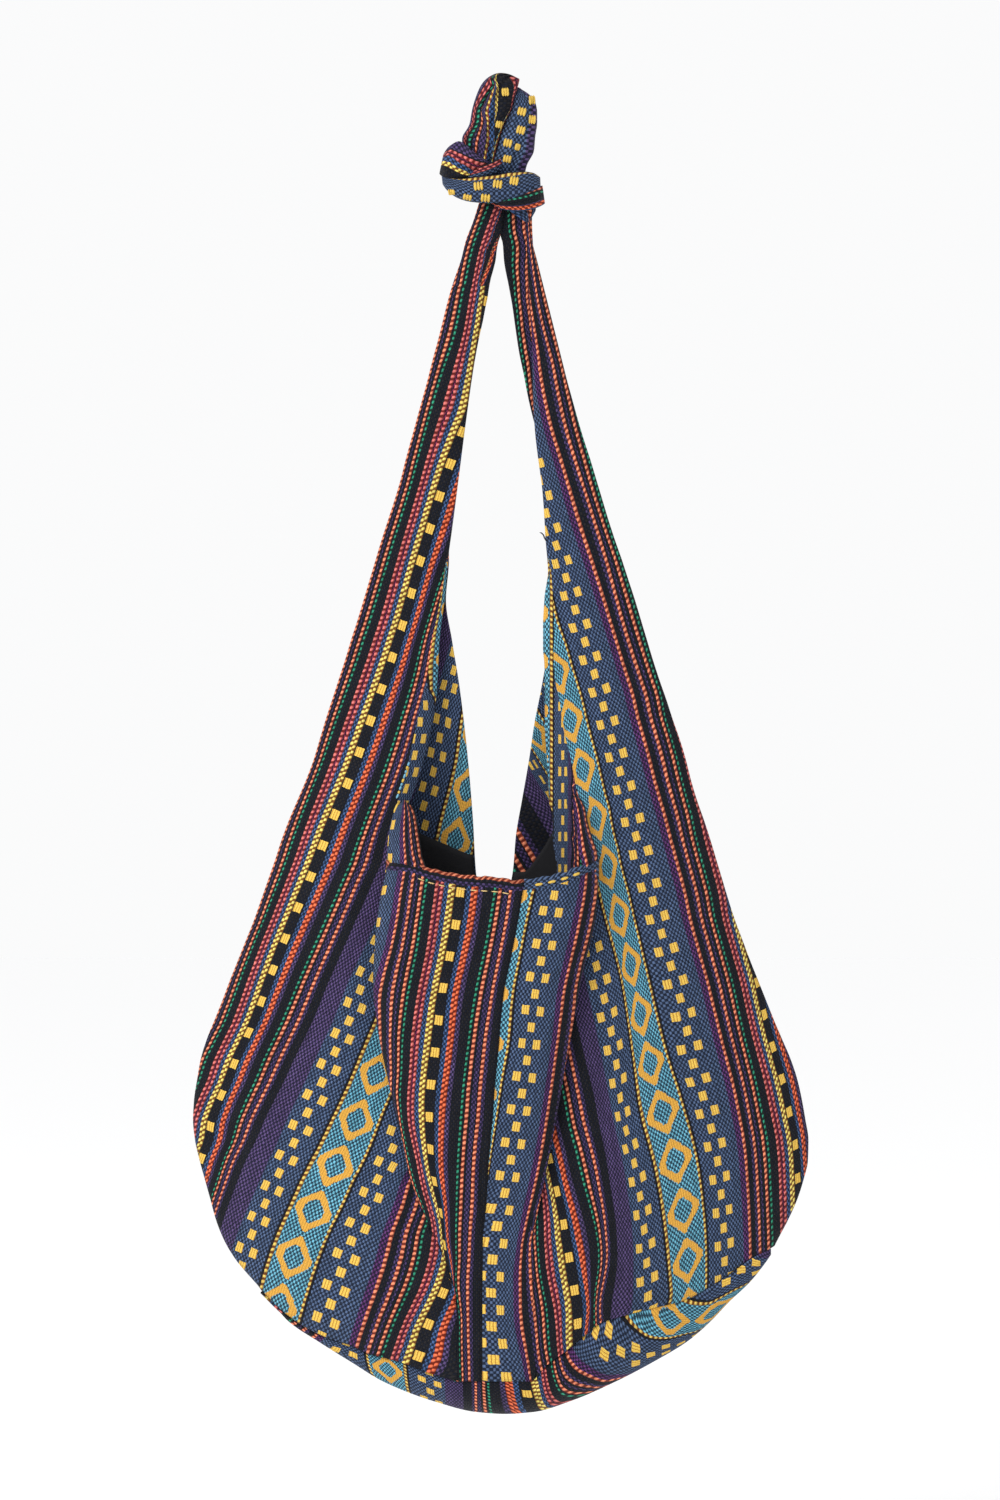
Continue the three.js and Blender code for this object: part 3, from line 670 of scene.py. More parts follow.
def lip_depth(x, y):
    """The lip between the two fold edges: full in the middle, turned under at both edges."""
    l, r = FOLD_L(y), FOLD_R(y)
    gl, gr = 1 - smoothstep(1120, 1335, y), 1 - smoothstep(1060, 1245, y)
    eL, eR = DEPTH_L(y) + 9 * gl, DEPTH_R(y) + 8 * gr
    D = LIP_D(y)
    wl, wr = 16 + 34 * gl, 16 + 34 * gr
    tl = np.clip((x - l) / wl, 0, 1)
    tr = np.clip((r - x) / wr, 0, 1)
    fl = np.sqrt(np.clip(1 - (1 - tl) ** 2, 0, 1))
    fr = np.sqrt(np.clip(1 - (1 - tr) ** 2, 0, 1))
    d = np.minimum(eL + (D - eL) * fl, D)
    d = d - (D - eR) * (1 - fr)
    g = np.where(x < (l + r) / 2, gl, gr)
    return d * g + belly(x, y) * (1 - g)


def seam_dip(x, xs, deep=1.3, wide=2.4):
    return -deep * np.exp(-((x - xs) / wide) ** 2)


CENTRE = curve("862:527.5 885:523.9 932:516 961:510.3 992:504 1024:500.6 1041:499.3 1066:497 1090:494.7 1112:493.3 1139:490.8 1167:488.5 1204:486.5 1238:483 1378:482", hold=False)


def front_half(right):
    L, lip = (RIGHT, LIP_R) if right else (LEFT, LIP_L)
    u_side, u_in = (U_SIDE_R, U_IN_R) if right else (U_SIDE_L, U_IN_L)
    edge, fold, uA, uB, H, depth = ((edge_right, FOLD_R, UA_R, UB_R, H_R, DEPTH_R) if right
                                   else (edge_left, FOLD_L, UA_L, UB_L, H_L, DEPTH_L))
    sgn = -1 if right else 1
    seed = 5 if right else 3
    bottom = 1381.5
    fold_end = 1232 if right else 1226
    top = np.arange(198, 862, STEP)
    low = np.arange(862, bottom + 0.1, (bottom - 862) / 130)
    s = np.linspace(0, 1, NA) ** 0.9

    def side_block(ys, ends_u, ends_x):
        P, W = [], []
        for y in ys:
            a, b = float(u_side(y)), float(ends_u(y))
            xe = float(ends_x(y))
            xs = float(edge(y))
            xs = max(xs, xe + 1.0) if right else min(xs, xe - 1.0)
            if y > 1120:
                seen = float(np.interp(xs, np.maximum.accumulate(L.x(L.u, y)), L.u))
                a = a + (seen - a) * float(smoothstep(1120, 1190, y))
            u = a + (b - a) * s
            x = L.x(u, y)
            x = x + (xs - x[0]) * (1 - s) ** 2
            x = x + (xe - x[-1]) * s ** 3
            q = (x - xs) / (xe - xs) if abs(xe - xs) > 1e-6 else s
            g = 1 - float(smoothstep(1120, 1335, y))
            d = side_profile(q, float(depth(y)))
            if y > 1120:
                d = d * g + belly(x, y) * (1 - g)
            if y > 1180:
                d = d + (float(lip_depth(np.array(xe), y)) - d[-1]) * smoothstep(0.35, 1, q) * float(smoothstep(1180, 1245, y))
            pillow = 2.6 * (1 - float(smoothstep(420, 760, y))) * np.sin(np.pi * np.clip(q, 0, 1)) ** 0.6
            d = d + 1.1 + pillow + ripple(x, y, seed) * np.sin(np.pi / 2 * np.clip(q * 4, 0, 1)) * np.clip((y - 300) / 300, 0, 1)
            P.append(place(x, y, d))
            W.append(np.stack([u, L.v(u, y)], -1))
        return np.array(P), np.array(W)

    def neck_uv(row, y):
        """Stripes of the left strap's neck, where its inner edge is rolled over under the knot."""
        f = (EYE + row[:, 1]) / EYE
        x = row[:, 0] / UNIT / f + 500
        left = float(L.x(-147.2, y))
        pair, t = float(NECK_PAIR(y)), float(NECK_T(y))
        u = np.interp(x, L.x(L.u, y), L.u)
        u = np.where(x > left, np.interp(x, [left, pair, pair + 2.2], [-147.2, -138.5, -134]), u)
        u = np.where(x > pair + 2.2, np.interp(x, [pair + 2.2, max(t, pair + 2.3)], [-155, -149]), u)
        u = np.where(x > t, np.interp(x, [t, t + 3.6], [-111, -105.2]), u)
        u = np.where(x > t + 3.6, -100 + (x - t - 3.6), u)
        return np.stack([u, L.v(np.full(len(x), -140.0), y)], -1)

    inner_x = curve(("196:525 206:526 254:527 300:530 330:532 360:533 384:533.5 410:534.5 430:535.8 442:537 464:540 486:543.2 512:545.6 540:547.5 560:549.5 575:551.4 600:553 620:554 648:553.6 661:553.5 685:556 700:559.5 721:562 740:566 755:570 773:573.5 793:577.5 808:584 824:587 840:592 851:596 862:597") if right else
                    ("196:504 206:503.5 228:501.5 236:499.5 243:497.3 250:496 259:495 269:492.7 279:489.9 289:488 297:486.8 307:484.7 321:482 334:479 360:474 420:465 480:457 540:449 600:440 640:432.5 676:427 715:418 748:411.3 777:404.3 802:397.5 847:388.5 862:387.5"))
    PT, WT = side_block(list(top) + [862.0], u_in, inner_x)
    PB, WB = side_block(low, uA, fold)
    PB[0], WB[0] = PT[-1], WT[-1]
    parts = [(PT, WT, right)]
    if not right:
        cut = next(i for i, y in enumerate(top) if y > 284)
        neck_w = np.array([neck_uv(PT[i], top[i]) for i in range(cut + 1)])
        parts = [(PT[:cut + 1], neck_w, right), (PT[cut:], WT[cut:], right)]
        WT = np.concatenate([neck_w[:cut], WT[cut:]])

    # strip of the strap's edge that is turned inwards, then its rolled hem
    rows = list(top) + [862.0]
    if right:
        strip_x = curve("560:546.3 597:545.4 626:544 648:544 665:545.4 690:545.6 730:546 751:547 773:548.5 800:549.7 815:553 840:554 862:557")
    else:
        strip_x = curve("560:448.5 600:443.5 640:438.5 681:436.6 715:433 748:426 777:418 802:409 840:397 862:392")
        strip_a = curve("560:2.4 664:2.4 690:-5 700:-20 740:-29 862:-31")
        strip_b = curve("560:9 690:9 700:2 732:-6 862:-10")
    NS = 9
    strip_p, strip_w = [], []
    for r, y in enumerate(rows):
        e = PT[r, -1]
        xa = float(inner_x(y))
        wide = max(0.0, (float(strip_x(y)) - xa) * sgn) * float(smoothstep(556, 600, y))
        q = np.linspace(0, 1, NS)
        d0 = -e[1] * 1000
        px = xa + sgn * wide * q
        pd = d0 - wide * 0.65 * (0.15 * q + 0.55 * q * q)
        row = place(px, y, pd)
        row[0] = e
        v = WT[r, -1, 1]
        strip_p.append(row)
        if right:
            su = np.interp(px, [544, 554.5, 569, 571.5, 572.5, 577.5, 581, 600], [299, 286.5, 248.5, 230, 214, 203, 197, 185])
            v = (y - 804) * 1.03
        else:
            su = float(strip_a(y)) + (float(strip_b(y)) - float(strip_a(y))) * q
        strip_w.append(np.stack([su, np.full(NS, v)], -1))
    deeper = 4 if right else 2
    for i in range(1, deeper + 1):
        strip_p.append(strip_p[len(rows) - 1] + np.array([0, 0.0004 * i, -5 * i * UNIT]))
        strip_w.append(strip_w[len(rows) - 1] + np.array([0, 5.0 * i]))
    strip_p, strip_w = np.array(strip_p), np.array(strip_w)
    first = next(i for i, y in enumerate(rows) if y > 560)
    strip_p, strip_w = strip_p[first:], strip_w[first:]

    roll_p, roll_w = [], []
    for r, y in enumerate(rows):
        if r < first:
            e, e2, uv0 = PT[r, -1], PT[r, -4], WT[r, -1]
        else:
            e, e2, uv0 = strip_p[r - first, -1], strip_p[r - first, 0] - np.array([sgn * 0.001, 0, 0]), strip_w[r - first, -1]
        out = e - e2
        out /= np.linalg.norm(out)
        back = np.array([-out[1] * sgn, abs(out[0]), 0])
        back /= np.linalg.norm(back)
        R = 0.0015
        row, uv = [e], [uv0]
        for a in (40, 80, 120, 160, 180):
            c = math.radians(a)
            row.append(e + out * R * math.sin(c) + back * R * (1 - math.cos(c)))
            uv.append(uv0 + np.array([sgn * R / UNIT * c, 0]))
        room = np.linalg.norm(PT[r, -1] - PT[r, 0]) * 0.3
        for w in (min(0.003, room * 0.5), min(0.006, room)):
            row.append(row[5] + np.array([-sgn * w, 0.0002, 0]))
            uv.append(uv[5] + np.array([sgn * w / UNIT, 0]))
        roll_p.append(row)
        roll_w.append(uv)
    roll_p, roll_w = np.array(roll_p), np.array(roll_w)

    FP, FW, LP, LW = [], [], [], []
    sl = np.linspace(0, 1, NL)
    for r, y in enumerate(low):
        ua, ub = float(uA(y)), float(uB(y))
        us = float(SEAM_U_R(y)) if right else SEAM_U_L
        # lip: from its fold edge to the centre seam
        ul = ub + (us - ub) * sl
        t = (1 - smoothstep(862, 1080, y))
        yl = y + (HEM(np.linspace(float(fold(y)), float(CENTRE(y)), NL)) - 862) * t
        x = lip.x(ul, yl)
        xc, xf = CENTRE(yl[-1]), float(fold(y))
        x = x + (xf - x[0]) * (1 - sl) ** 3 + (xc - x[-1]) * sl ** 4
        d = lip_depth(x, yl) + seam_dip(x, xc) + ripple(x, yl, 11, 0.7) * np.clip(np.abs(x - xf) / 30, 0, 1)
        d = d + 1.1
        pl = place(x, yl, d)
        wl = np.stack([ul, lip.v(ul, yl)], -1)
        # fold
        pa, pb = PB[r, -1], pl[0]
        dA, dE = -pa[1] * 1000, -pb[1] * 1000
        h = float(H(y))
        n = NF
        if h > 0.6 and y < fold_end:
            R2 = max(0.3, min(3.0, (dE - dA) * 0.35))
            ox, od, tt = fold_path(n, h, dA, dE, R2)
            xa = float(fold(y))
            px = xa + sgn * ox
            sink = (HEM(np.clip(px, 388, 597)) - 862 + 12 * smoothstep(0, 10, ox)) * (1 - smoothstep(862, 1080, y))
            pf = place(px, y + sink, od)
        else:
            tt = np.linspace(0, 1, n)
            pf = pa[None] * (1 - tt)[:, None] + pb[None] * tt[:, None]
        pf[0], pf[-1] = pa, pb
        wf = WB[r, -1][None] * (1 - tt)[:, None] + wl[0][None] * tt[:, None]
        FP.append(pf)
        FW.append(wf)
        LP.append(pl)
        LW.append(wl)
    FP, FW, LP, LW = (np.array(q) for q in (FP, FW, LP, LW))

    # hem of the lip: a doubled band, rolled over to the inside
    NB = 3
    for r in range(NB):
        LP[r, :, 1] -= 0.0011 * (1, 0.9, 0.35)[r]
    LP[NB, :, 1] += 0.0007
    hem_w = LW[:NB].copy()
    hem_w[:, :, 0] = ((277.5 + 4 * np.arange(NB)) if right else (204.6 + 2.4 * np.arange(NB)))[:, None]
    hem_w[:, :, 1] = LP[0, :, 0][None] / UNIT
    uneven = ripple(LP[0, :, 0] / UNIT * 6, 0 * LP[0, :, 0], 40 + right, 1.0)
    LP[0, :, 2] += uneven * 0.0007
    LP[1, :, 1] -= ripple(LP[0, :, 0] / UNIT * 8, 0 * LP[0, :, 0], 44 + right, 1.0) * 0.0005
    hp, hw = [LP[0]], [hem_w[0]]
    R = 0.0019
    for a in (35, 70, 105, 140, 180):
        c = math.radians(a)
        hp.append(LP[0] + np.array([0, R * (1 - math.cos(c)), R * math.sin(c)]))
        hw.append(hem_w[0] - np.array([0, R / UNIT * c]))
    for w in (0.005, 0.011):
        hp.append(hp[5] - np.array([0, 0, w]))
        hw.append(hw[5] - np.array([0, w / UNIT]))
    hp, hw = np.array(hp)[::-1], np.array(hw)[::-1]

    # corner of the mouth, where the lip's edge climbs along the strap
    jc = int(np.argmin(np.abs(LW[0, :, 0] - (98 if right else 127))))
    peak_y = 794.0 if right else 800.0
    if right:
        rim_in, rim_out = curve("794:573 805:575.5 824:578.5 840:579.8 862:581.7"), curve("794:577 808:584 824:587 840:592 851:596 862:597")
    else:
        rim_in, rim_out = curve("800:407.5 817:414.2 836:417 855:419.8 864:420.7"), curve("800:401.5 808:397 822:392 841:389 862:388")
    NC = 22
    CP, CW = [], []
    for t in np.linspace(0, 1, NC):
        row, uv = [], []
        for c in range(jc + 1):
            q = c / jc
            pb = LP[0, c]
            d0 = -pb[1] * 1000
            f0 = (EYE - d0 / 1000) / EYE
            x0 = pb[0] / UNIT / f0 + 500
            y0 = 750 - (pb[2] - MID_Z) / UNIT / f0
            y = y0 + (peak_y + 5 * (2 * q - 1) ** 2 - y0) * t
            xo, xi = float(rim_out(y)), float(rim_in(y))
            x = (xo + (xi - xo) * q) * min(1, t * 5) + x0 * (1 - min(1, t * 5))
            dt = float(depth(peak_y)) + 4.5
            d = d0 * (1 - t) + dt * t + 2.2 * math.sin(math.pi * q) * (1 - 0.6 * t)
            row.append(place(x, y, d))
            uv.append((LW[0, c, 0], LW[0, c, 1] - (y0 - y)))
        CP.append(row)
        CW.append(uv)
    CP, CW = np.array(CP)[::-1], np.array(CW)[::-1]
    # its rolled rim and its return to the strap
    rim_p, rim_w = [], []
    for r in range(NC):
        e = CP[r, -1]
        rim_p.append([e] + [e + np.array([sgn * 0.0014 * math.sin(math.radians(a)), 0.0014 * (1 - math.cos(math.radians(a))), 0]) for a in (45, 90, 135, 180)]
                     + [e + np.array([-sgn * 0.004, 0.0034, 0])])
        rim_w.append([CW[r, -1] + np.array([sgn * 1.5 * i, 0]) for i in range(6)])
    back_p, back_w = [], []
    for r in range(NC):
        e = CP[r, 0]
        f0 = (EYE + e[1]) / EYE
        xe, ye, de = e[0] / UNIT / f0 + 500, 750 - (e[2] - MID_Z) / UNIT / f0, -e[1] * 1000
        far = min(de, float(np.interp(ye, rows, -PT[:, -1, 1] * 1000)) - 1.0)
        q = np.array([1, 0.8, 0.6, 0.4, 0.2, 0.08])
        row = place(xe - sgn * 1.2 * np.sin(np.pi * q), np.full(6, ye), de + (far - de) * q)
        back_p.append(list(row) + [e])
        back_w.append([CW[r, 0] - np.array([sgn * (de - far) * k_ / 0.65, 0]) for k_ in list(q) + [0]])
    # tacked down for a little way below the mouth
    for i in (1, 2, 3, 4, 5):
        back_p.append([q + np.array([-sgn * 0.0004 * (k_ > 0) * (k_ < 6) + sgn * 0.0006 * i, 0, -5.4 * i * UNIT]) for k_, q in enumerate(back_p[NC - 1])])
        back_w.append([q + np.array([0, 5.4 * i]) for q in back_w[NC - 1]])

    blocks = parts + [(PB, WB, right), (FP, FW, right), (LP[:NB], hem_w, right), (LP[NB - 1:], LW[NB - 1:], right), (hp, hw, right),
              (strip_p, strip_w, right), (roll_p, roll_w, right), (CP, CW, right), (np.array(rim_p), np.array(rim_w), right),
              (np.array(back_p), np.array(back_w), right)]
    return blocks, (LP, LW)


left_blocks, (LIP_LEFT, _) = front_half(False)
right_blocks, (LIP_RIGHT, _) = front_half(True)
front_left = cloth("front_left_cloth", left_blocks, 1.4, WOVEN, ["front_left_panel", "front_left_strap"])
front_right = cloth("front_right_cloth", right_blocks, 1.4, WOVEN, ["front_right_panel", "front_right_strap"])

# ------------------------------------------------------------------ back panels
BACK_D = curve("196:0 300:0 500:1 600:3 700:7 780:12 862:18 960:26 1040:30 1200:30 1300:27 1380:24")
IN_BL = curve("196:502 206:501.5 228:499 243:494 259:491 279:486 300:482 360:472 420:463 480:455 540:449 560:449 600:446 640:452 690:460 760:468 820:473 872:476 905:483 935:495 1000:492 1137:488 1238:483 1384:482")
IN_BR = curve("196:498 206:498 228:499 236:500.5 243:502.6 261:504 286:508.7 306:512.3 331:515.8 352:519 376:524 397:528 422:534 442:540 480:549 540:552 600:552 640:549 690:541 720:535 760:529 800:522 835:516 870:513 905:505 935:496 1000:493 1137:489 1238:484 1384:483")


BACK_Q = curve("-400:-260 -60:-38 0:0 44:26 57:51 63:72 100:128 200:235 400:440", hold=False)


def back_half(right):
    edge = edge_right if right else edge_left
    inner = IN_BR if right else IN_BL
    ys = np.arange(198, 1379, STEP)
    n = 66
    s = np.linspace(0, 1, n) ** 0.9
    P, W = [], []
    vx = None
    for y in ys:
        xs, xe = float(edge(y)), float(inner(y))
        x = xs + (xe - xs) * s
        if right:
            q = (x - 519) - 0.6 * (y - 835)
            inside = 214 + BACK_Q(q)
            k = float(np.interp(y, [206, 254, 300, 330, 360, 400], [0.95, 0.93, 0.75, 0.8, 0.9, 0.9]))
            u0 = float(np.interp(y, [206, 254, 300, 330, 360, 384, 410], [473.5, 474.5, 479.5, 481.5, 482.5, 485, 487.5]))
            g = float(smoothstep(430, 600, y))
            u = (u0 + (x - xe) / k) * (1 - g) + inside * g
        else:
            k = float(np.interp(y, [206, 600, 690, 835, 940, 1100], [0.66, 0.72, 0.74, 0.87, 0.92, 0.95]))
            u = -174 + (x - float(SIDE_L(min(y, 1290)))) / k
        d = -(1.1 + BACK_D(y) * crown(x, y))
        pillow = 2.0 * (1 - float(smoothstep(420, 760, y))) * np.sin(np.pi * s) ** 0.6
        d = d - pillow + ripple(x, y, 21 + right) * np.sin(np.pi * s) * np.clip((y - 400) / 300, 0, 1)
        P.append(place(x, y, d))
        W.append(np.stack([u, np.full(n, y * 1.03) + (x - xs) * (-0.33 if not right else 0.33)], -1))
    return [(np.array(P), np.array(W), not right)]


back_left = cloth("back_left_cloth", back_half(False), 1.4, WOVEN, ["back_left_panel", "back_left_strap"])
back_right = cloth("back_right_cloth", back_half(True), 1.4, WOVEN, ["back_right_panel", "back_right_strap"])

# ------------------------------------------------------------------ base
U_SEAM = curve("261:452 341:361 364:336.5 408:286.5 446:248 464:228 476:214 482:205 530:160 539:151 552:128 565:103 602:62 621:50 634:42 652:26 669:13"
               " 690:1 703:-7 712:-14 720:-17 736:-22 751:-32 774:-52")
U_LOW = curve("261:450 300:400 345:352 372:336.5 412:286.5 446:250 470:222 484:205 520:178 544:160 560:150 585:138 606:118 617:112 634:99 652:97 668:93"
              " 683:87 703:58 715:52 730:36 751:8 774:-48")


def base_block():
    xs = np.linspace(262, 771, 220)
    fs = np.linspace(0, 1, 40)
    turn = smoothstep(480, 640, xs)
    P, W = [], []
    for f in fs:
        a = math.pi * f
        ys, yl = SEAM(xs), LOW(xs) + 1.0
        front = belly(xs, ys) + 1.1
        back = -(1.1 + BACK_D(ys) * crown(xs, ys))
        d = front + (back - front) * (1 - math.cos(a)) / 2
        tall = np.maximum(yl - ys, 1.0)
        y = ys + tall * math.sin(a) ** 0.8
        u = U_SEAM(xs) + (U_LOW(xs) - U_SEAM(xs)) * np.clip(f * 2, 0, 1)
        run = y - ys if f <= 0.5 else 2 * tall - (y - ys)
        v = (4.2 + 1.78 * (run - 11)) * (1 - turn) + (104.7 + 1.112 * (xs - 669.7)) * turn
        dip = 1.4 * math.exp(-(f / 0.05) ** 2)
        P.append(place(xs, y, d - dip))
        W.append(np.stack([u, v], -1))
    return [(np.array(P), np.array(W), False)]


base = cloth("base_cloth", base_block(), 1.4, WOVEN, ["base_panel"])

# ------------------------------------------------------------------ lining


def lining_front_blocks():
    n, m = 60, 80
    P, W = [], []
    sx = np.linspace(0, 1, n)
    mid = np.linspace(float(edge_left(880)) + 30, float(edge_right(880)) - 30, n)
    y_top = np.where((mid > 388) & (mid < 597), HEM(np.clip(mid, 388, 597)), 862) + 12
    for t in np.linspace(0, 1, m):
        y = y_top + (1362 - y_top) * t
        l, r = edge_left(y) + 30, edge_right(y) - 30
        l, r = np.minimum(l, 480), np.maximum(r, 492)
        x = l + (r - l) * sx
        d = np.minimum(DEPTH_L(y), DEPTH_R(y)) * np.sin(np.pi * sx) ** 0.7 * 0.8 - 3.0
        P.append(place(x, y, d))
        W.append(np.stack([x, y], -1))
    return [(np.array(P), np.array(W), False)]


def lining_back_blocks():
    cut = 940.0
    top_l, top_r = curve("280:800 380:818 425:835 475:855"), curve("513:872 520:862 537:838 551:811 575:792 640:780")
    n, m = 34, 16
    sx = np.linspace(0, 1, n)
    blocks, ends = [], []

    def depth_at(x, y):
        return -(1.1 + BACK_D(y) * crown(x, y)) + 4.2

    for right in (False, True):
        x0, x1 = (500.0, float(edge_right(860)) - 30) if right else (float(edge_left(860)) + 30, 478.0)
        y_top = (top_r if right else top_l)(x0 + (x1 - x0) * sx)
        P, W = [], []
        for t in np.linspace(0, 1, m):
            y = y_top + (cut - y_top) * t
            if right:
                a, b = IN_BR(y) + 1.5, edge_right(y) - 30
            else:
                a, b = edge_left(y) + 30, IN_BL(y) - 1.5
            x = a + (b - a) * sx
            P.append(place(x, y, depth_at(x, y)))
            W.append(np.stack([x, y], -1))
        blocks.append((np.array(P), np.array(W), False))
        ends.append(W[-1][:, 0])
    x_end = np.concatenate(ends)
    P, W = [], []
    for y in np.linspace(cut, 1362, 70):
        l, r = min(float(edge_left(y)) + 30, 480), max(float(edge_right(y)) - 30, 492)
        x = l + (r - l) * (x_end - x_end[0]) / (x_end[-1] - x_end[0])
        P.append(place(x, y, depth_at(x, y)))
        W.append(np.stack([x, np.full(len(x), y)], -1))
    blocks.append((np.array(P), np.array(W), False))
    return blocks


lining_front = cloth("lining_front_cloth", lining_front_blocks(), 0.8, LINING, ["lining_front"])
lining_back = cloth("lining_back_cloth", lining_back_blocks(), 0.8, LINING, ["lining_back"])


def lining_base_block():
    xs = np.linspace(300, 740, 90)
    fs = np.linspace(0, 1, 22)
    P, W = [], []
    for f in fs:
        a = math.pi * f
        ys, yl = SEAM(xs) - 6, LOW(xs) - 7
        front = belly(xs, ys) * 0.8 - 3
        back = -(BACK_D(ys) * crown(xs, ys)) * 0.8 + 3
        d = front + (back - front) * (1 - math.cos(a)) / 2
        y = ys + np.maximum(yl - ys, 1.0) * math.sin(a) ** 0.8
        P.append(place(xs, y, d))
        W.append(np.stack([xs, np.full(len(xs), f * 120)], -1))
    return [(np.array(P), np.array(W), False)]


lining_base = cloth("lining_base_cloth", lining_base_block(), 0.8, LINING, ["lining_base"])

# ------------------------------------------------------------------ knot and loop


def band(stations, cuts, us, back, n=72, m=7, deep=7.0, v0=0.0, vs=1.0, groove=(), seed=1):
    """A strap bunched into a rounded band. Stations run along it: both edges as x, y, then the depth of the
    edges and how far the front swells. cuts split the width at each station and us gives each part its stripes.
    The back is rounded too, and both ends are closed."""
    S = np.array(stations, float)
    mid = (S[:, 0:2] + S[:, 2:4]) / 2
    t0 = np.concatenate([[0], np.cumsum(np.linalg.norm(np.diff(mid, axis=0), axis=1))])
    t = np.linspace(0, t0[-1], n)
    ax, ay, bx, by, dep, swell = (blur(pchip(t0, S[:, i])(t), 1.2)[:, None] for i in range(6))
    B = np.array(cuts, float).reshape(len(S), -1)
    lines = [np.zeros(n)] + [pchip(t0, B[:, j])(t) for j in range(B.shape[1])] + [np.ones(n)]
    lines = np.maximum.accumulate(np.clip(np.array(lines), 0, 1), axis=0)
    rng = np.random.default_rng(seed)
    ph = rng.uniform(0, 6.3, 4)

    def point(q, side):
        round_ = np.clip(1 - (2 * q - 1) ** 2, 0, 1) ** 0.45
        if side > 0:
            d = dep + swell * round_
            d = d + 0.45 * round_ * (np.sin(q * 19 + t[:, None] / 13 + ph[0]) + np.sin(q * 31 - t[:, None] / 9 + ph[1]) * 0.6)
            for g, wide, depth_ in groove:
                at = np.interp(np.linspace(0, 1, n), np.linspace(0, 1, len(g)), g)[:, None]
                d = d - depth_ * np.exp(-((q - at) / wide) ** 2)
        else:
            d = dep - deep * round_ + 0.4 * round_ * np.sin(q * 17 + t[:, None] / 11 + ph[2])
        return place(ax + (bx - ax) * q, ay + (by - ay) * q, d)

    parts = []
    for k_, (u0, u1) in enumerate(us):
        f = np.linspace(0, 1, m)[None]
        q = lines[k_][:, None] + (lines[k_ + 1] - lines[k_])[:, None] * f
        parts.append((point(q, 1), np.stack([u0 + (u1 - u0) * f + 0 * q, v0 + vs * t[:, None] + 0 * q], -1)))
    front = np.concatenate([q[0].reshape(-1, 3) for q in parts])
    f = np.linspace(1, 0, 18)[None] + np.zeros((n, 1))
    parts.append((point(f, -1), np.stack([back[0] + (back[1] - back[0]) * (1 - f), v0 + vs * t[:, None] + 0 * f], -1)))

    # close both ends
    def ring(i):
        return np.concatenate([q[0][i] for q in parts])

    c0, c1 = ring(0).mean(axis=0), ring(-1).mean(axis=0)
    o0, o1 = c0 - ring(2).mean(axis=0), c1 - ring(-3).mean(axis=0)
    o0, o1 = o0 / np.linalg.norm(o0), o1 / np.linalg.norm(o1)
    r0, r1 = (np.linalg.norm(ring(i) - c, axis=1).mean() for i, c in ((0, c0), (-1, c1)))
    blocks = []
    for P, W in parts:
        head = [c0 + (P[0] - c0) * g + o0 * r0 * 0.6 * math.sqrt(1 - g * g) for g in (0.0, 0.35, 0.65, 0.88)]
        tail_ = [c1 + (P[-1] - c1) * g + o1 * r1 * 0.6 * math.sqrt(1 - g * g) for g in (0.88, 0.65, 0.35, 0.0)]
        blocks.append((np.array(head + list(P) + tail_), np.array([W[0]] * 4 + list(W) + [W[-1]] * 4), False))
    return blocks, front


# left strand of the loop, from the knot up and over
loop_l, loop_l_front = band(
    [(463, 163, 490, 180, 0, 6), (462, 139, 497, 147, 3, 8), (469.5, 124, 504.5, 123, 4, 8.5), (472, 110, 512, 108, 4, 8.5),
     (476.5, 95, 514.5, 97, 3, 8.5), (482, 83.5, 516.5, 91, 2, 8), (490, 76, 518.5, 84.5, 1, 7), (500, 72.5, 519.5, 80, -1, 5),
     (510, 74, 519.5, 78.5, -3, 4), (516.5, 77.5, 519, 79.5, -6, 3)],
    [(.04, .12, .30, .36, .47, .67, .68, .735, .90, .903, .92, .97),
     (.04, .12, .30, .36, .47, .67, .68, .735, .90, .903, .92, .97),
     (.05, .12, .30, .30, .40, .48, .495, .55, .71, .712, .94, .985),
     (.03, .10, .24, .24, .245, .335, .345, .395, .58, .64, .965, .967),
     (.05, .20, .31, .31, .312, .345, .36, .41, .50, .57, .94, .942),
     (.08, .27, .36, .36, .362, .364, .366, .368, .42, .49, .92, .922),
     (.03, .05, .12, .12, .122, .124, .126, .128, .16, .22, .80, .802),
     (.01, .012, .02, .02, .022, .024, .026, .028, .03, .04, .50, .502),
     (.01, .012, .02, .02, .022, .024, .026, .028, .03, .04, .50, .502),
     (.01, .012, .02, .02, .022, .024, .026, .028, .03, .04, .50, .502)],
    [(229, 233), (138.4, 148.6), (133, 126.8), (216.2, 218), (199.8, 206), (229, 236), (0.6, 2), (2.0, 4.9), (148, 153.3), (153.3, 159), (131.2, 138.8),
     (44.6, 48.4), (149, 142)], (186, 228), deep=8, v0=-5,
    groove=[((.33, .33, .27, .2, .2, .3, .3, .3), 0.05, 2.2), ((.9, .9, .72, .6, .6, .52, .5, .5), 0.05, 2.6), ((.12, .12, .12, .1, .2, .3), 0.05, 1.2)], seed=4)
# right strand, plain blue with woven dots
loop_r, loop_r_front = band(
    [(494, 180, 524, 178, -2, 6), (492, 164, 527, 165, 0, 8), (496, 150, 534, 151, 1, 9), (500, 134, 535.3, 136.5, 1, 9.5), (504, 122, 537.2, 123, 0, 9.5),
     (508, 111, 537.2, 112, -1, 9), (511, 101, 535, 101.3, -2, 8), (512, 94, 528.4, 93.6, -3, 6), (513, 89, 521, 89, -5, 4)],
    [(.25, .5, .75)] * 5 + [(.25, .5, .75)] * 4,
    [(277.4, 286), (286, 277.4), (277.4, 286), (250, 246)], (286, 244), deep=8, v0=3, groove=[((.55, .55, .7, .85, .9), 0.06, 1.6)], seed=7)
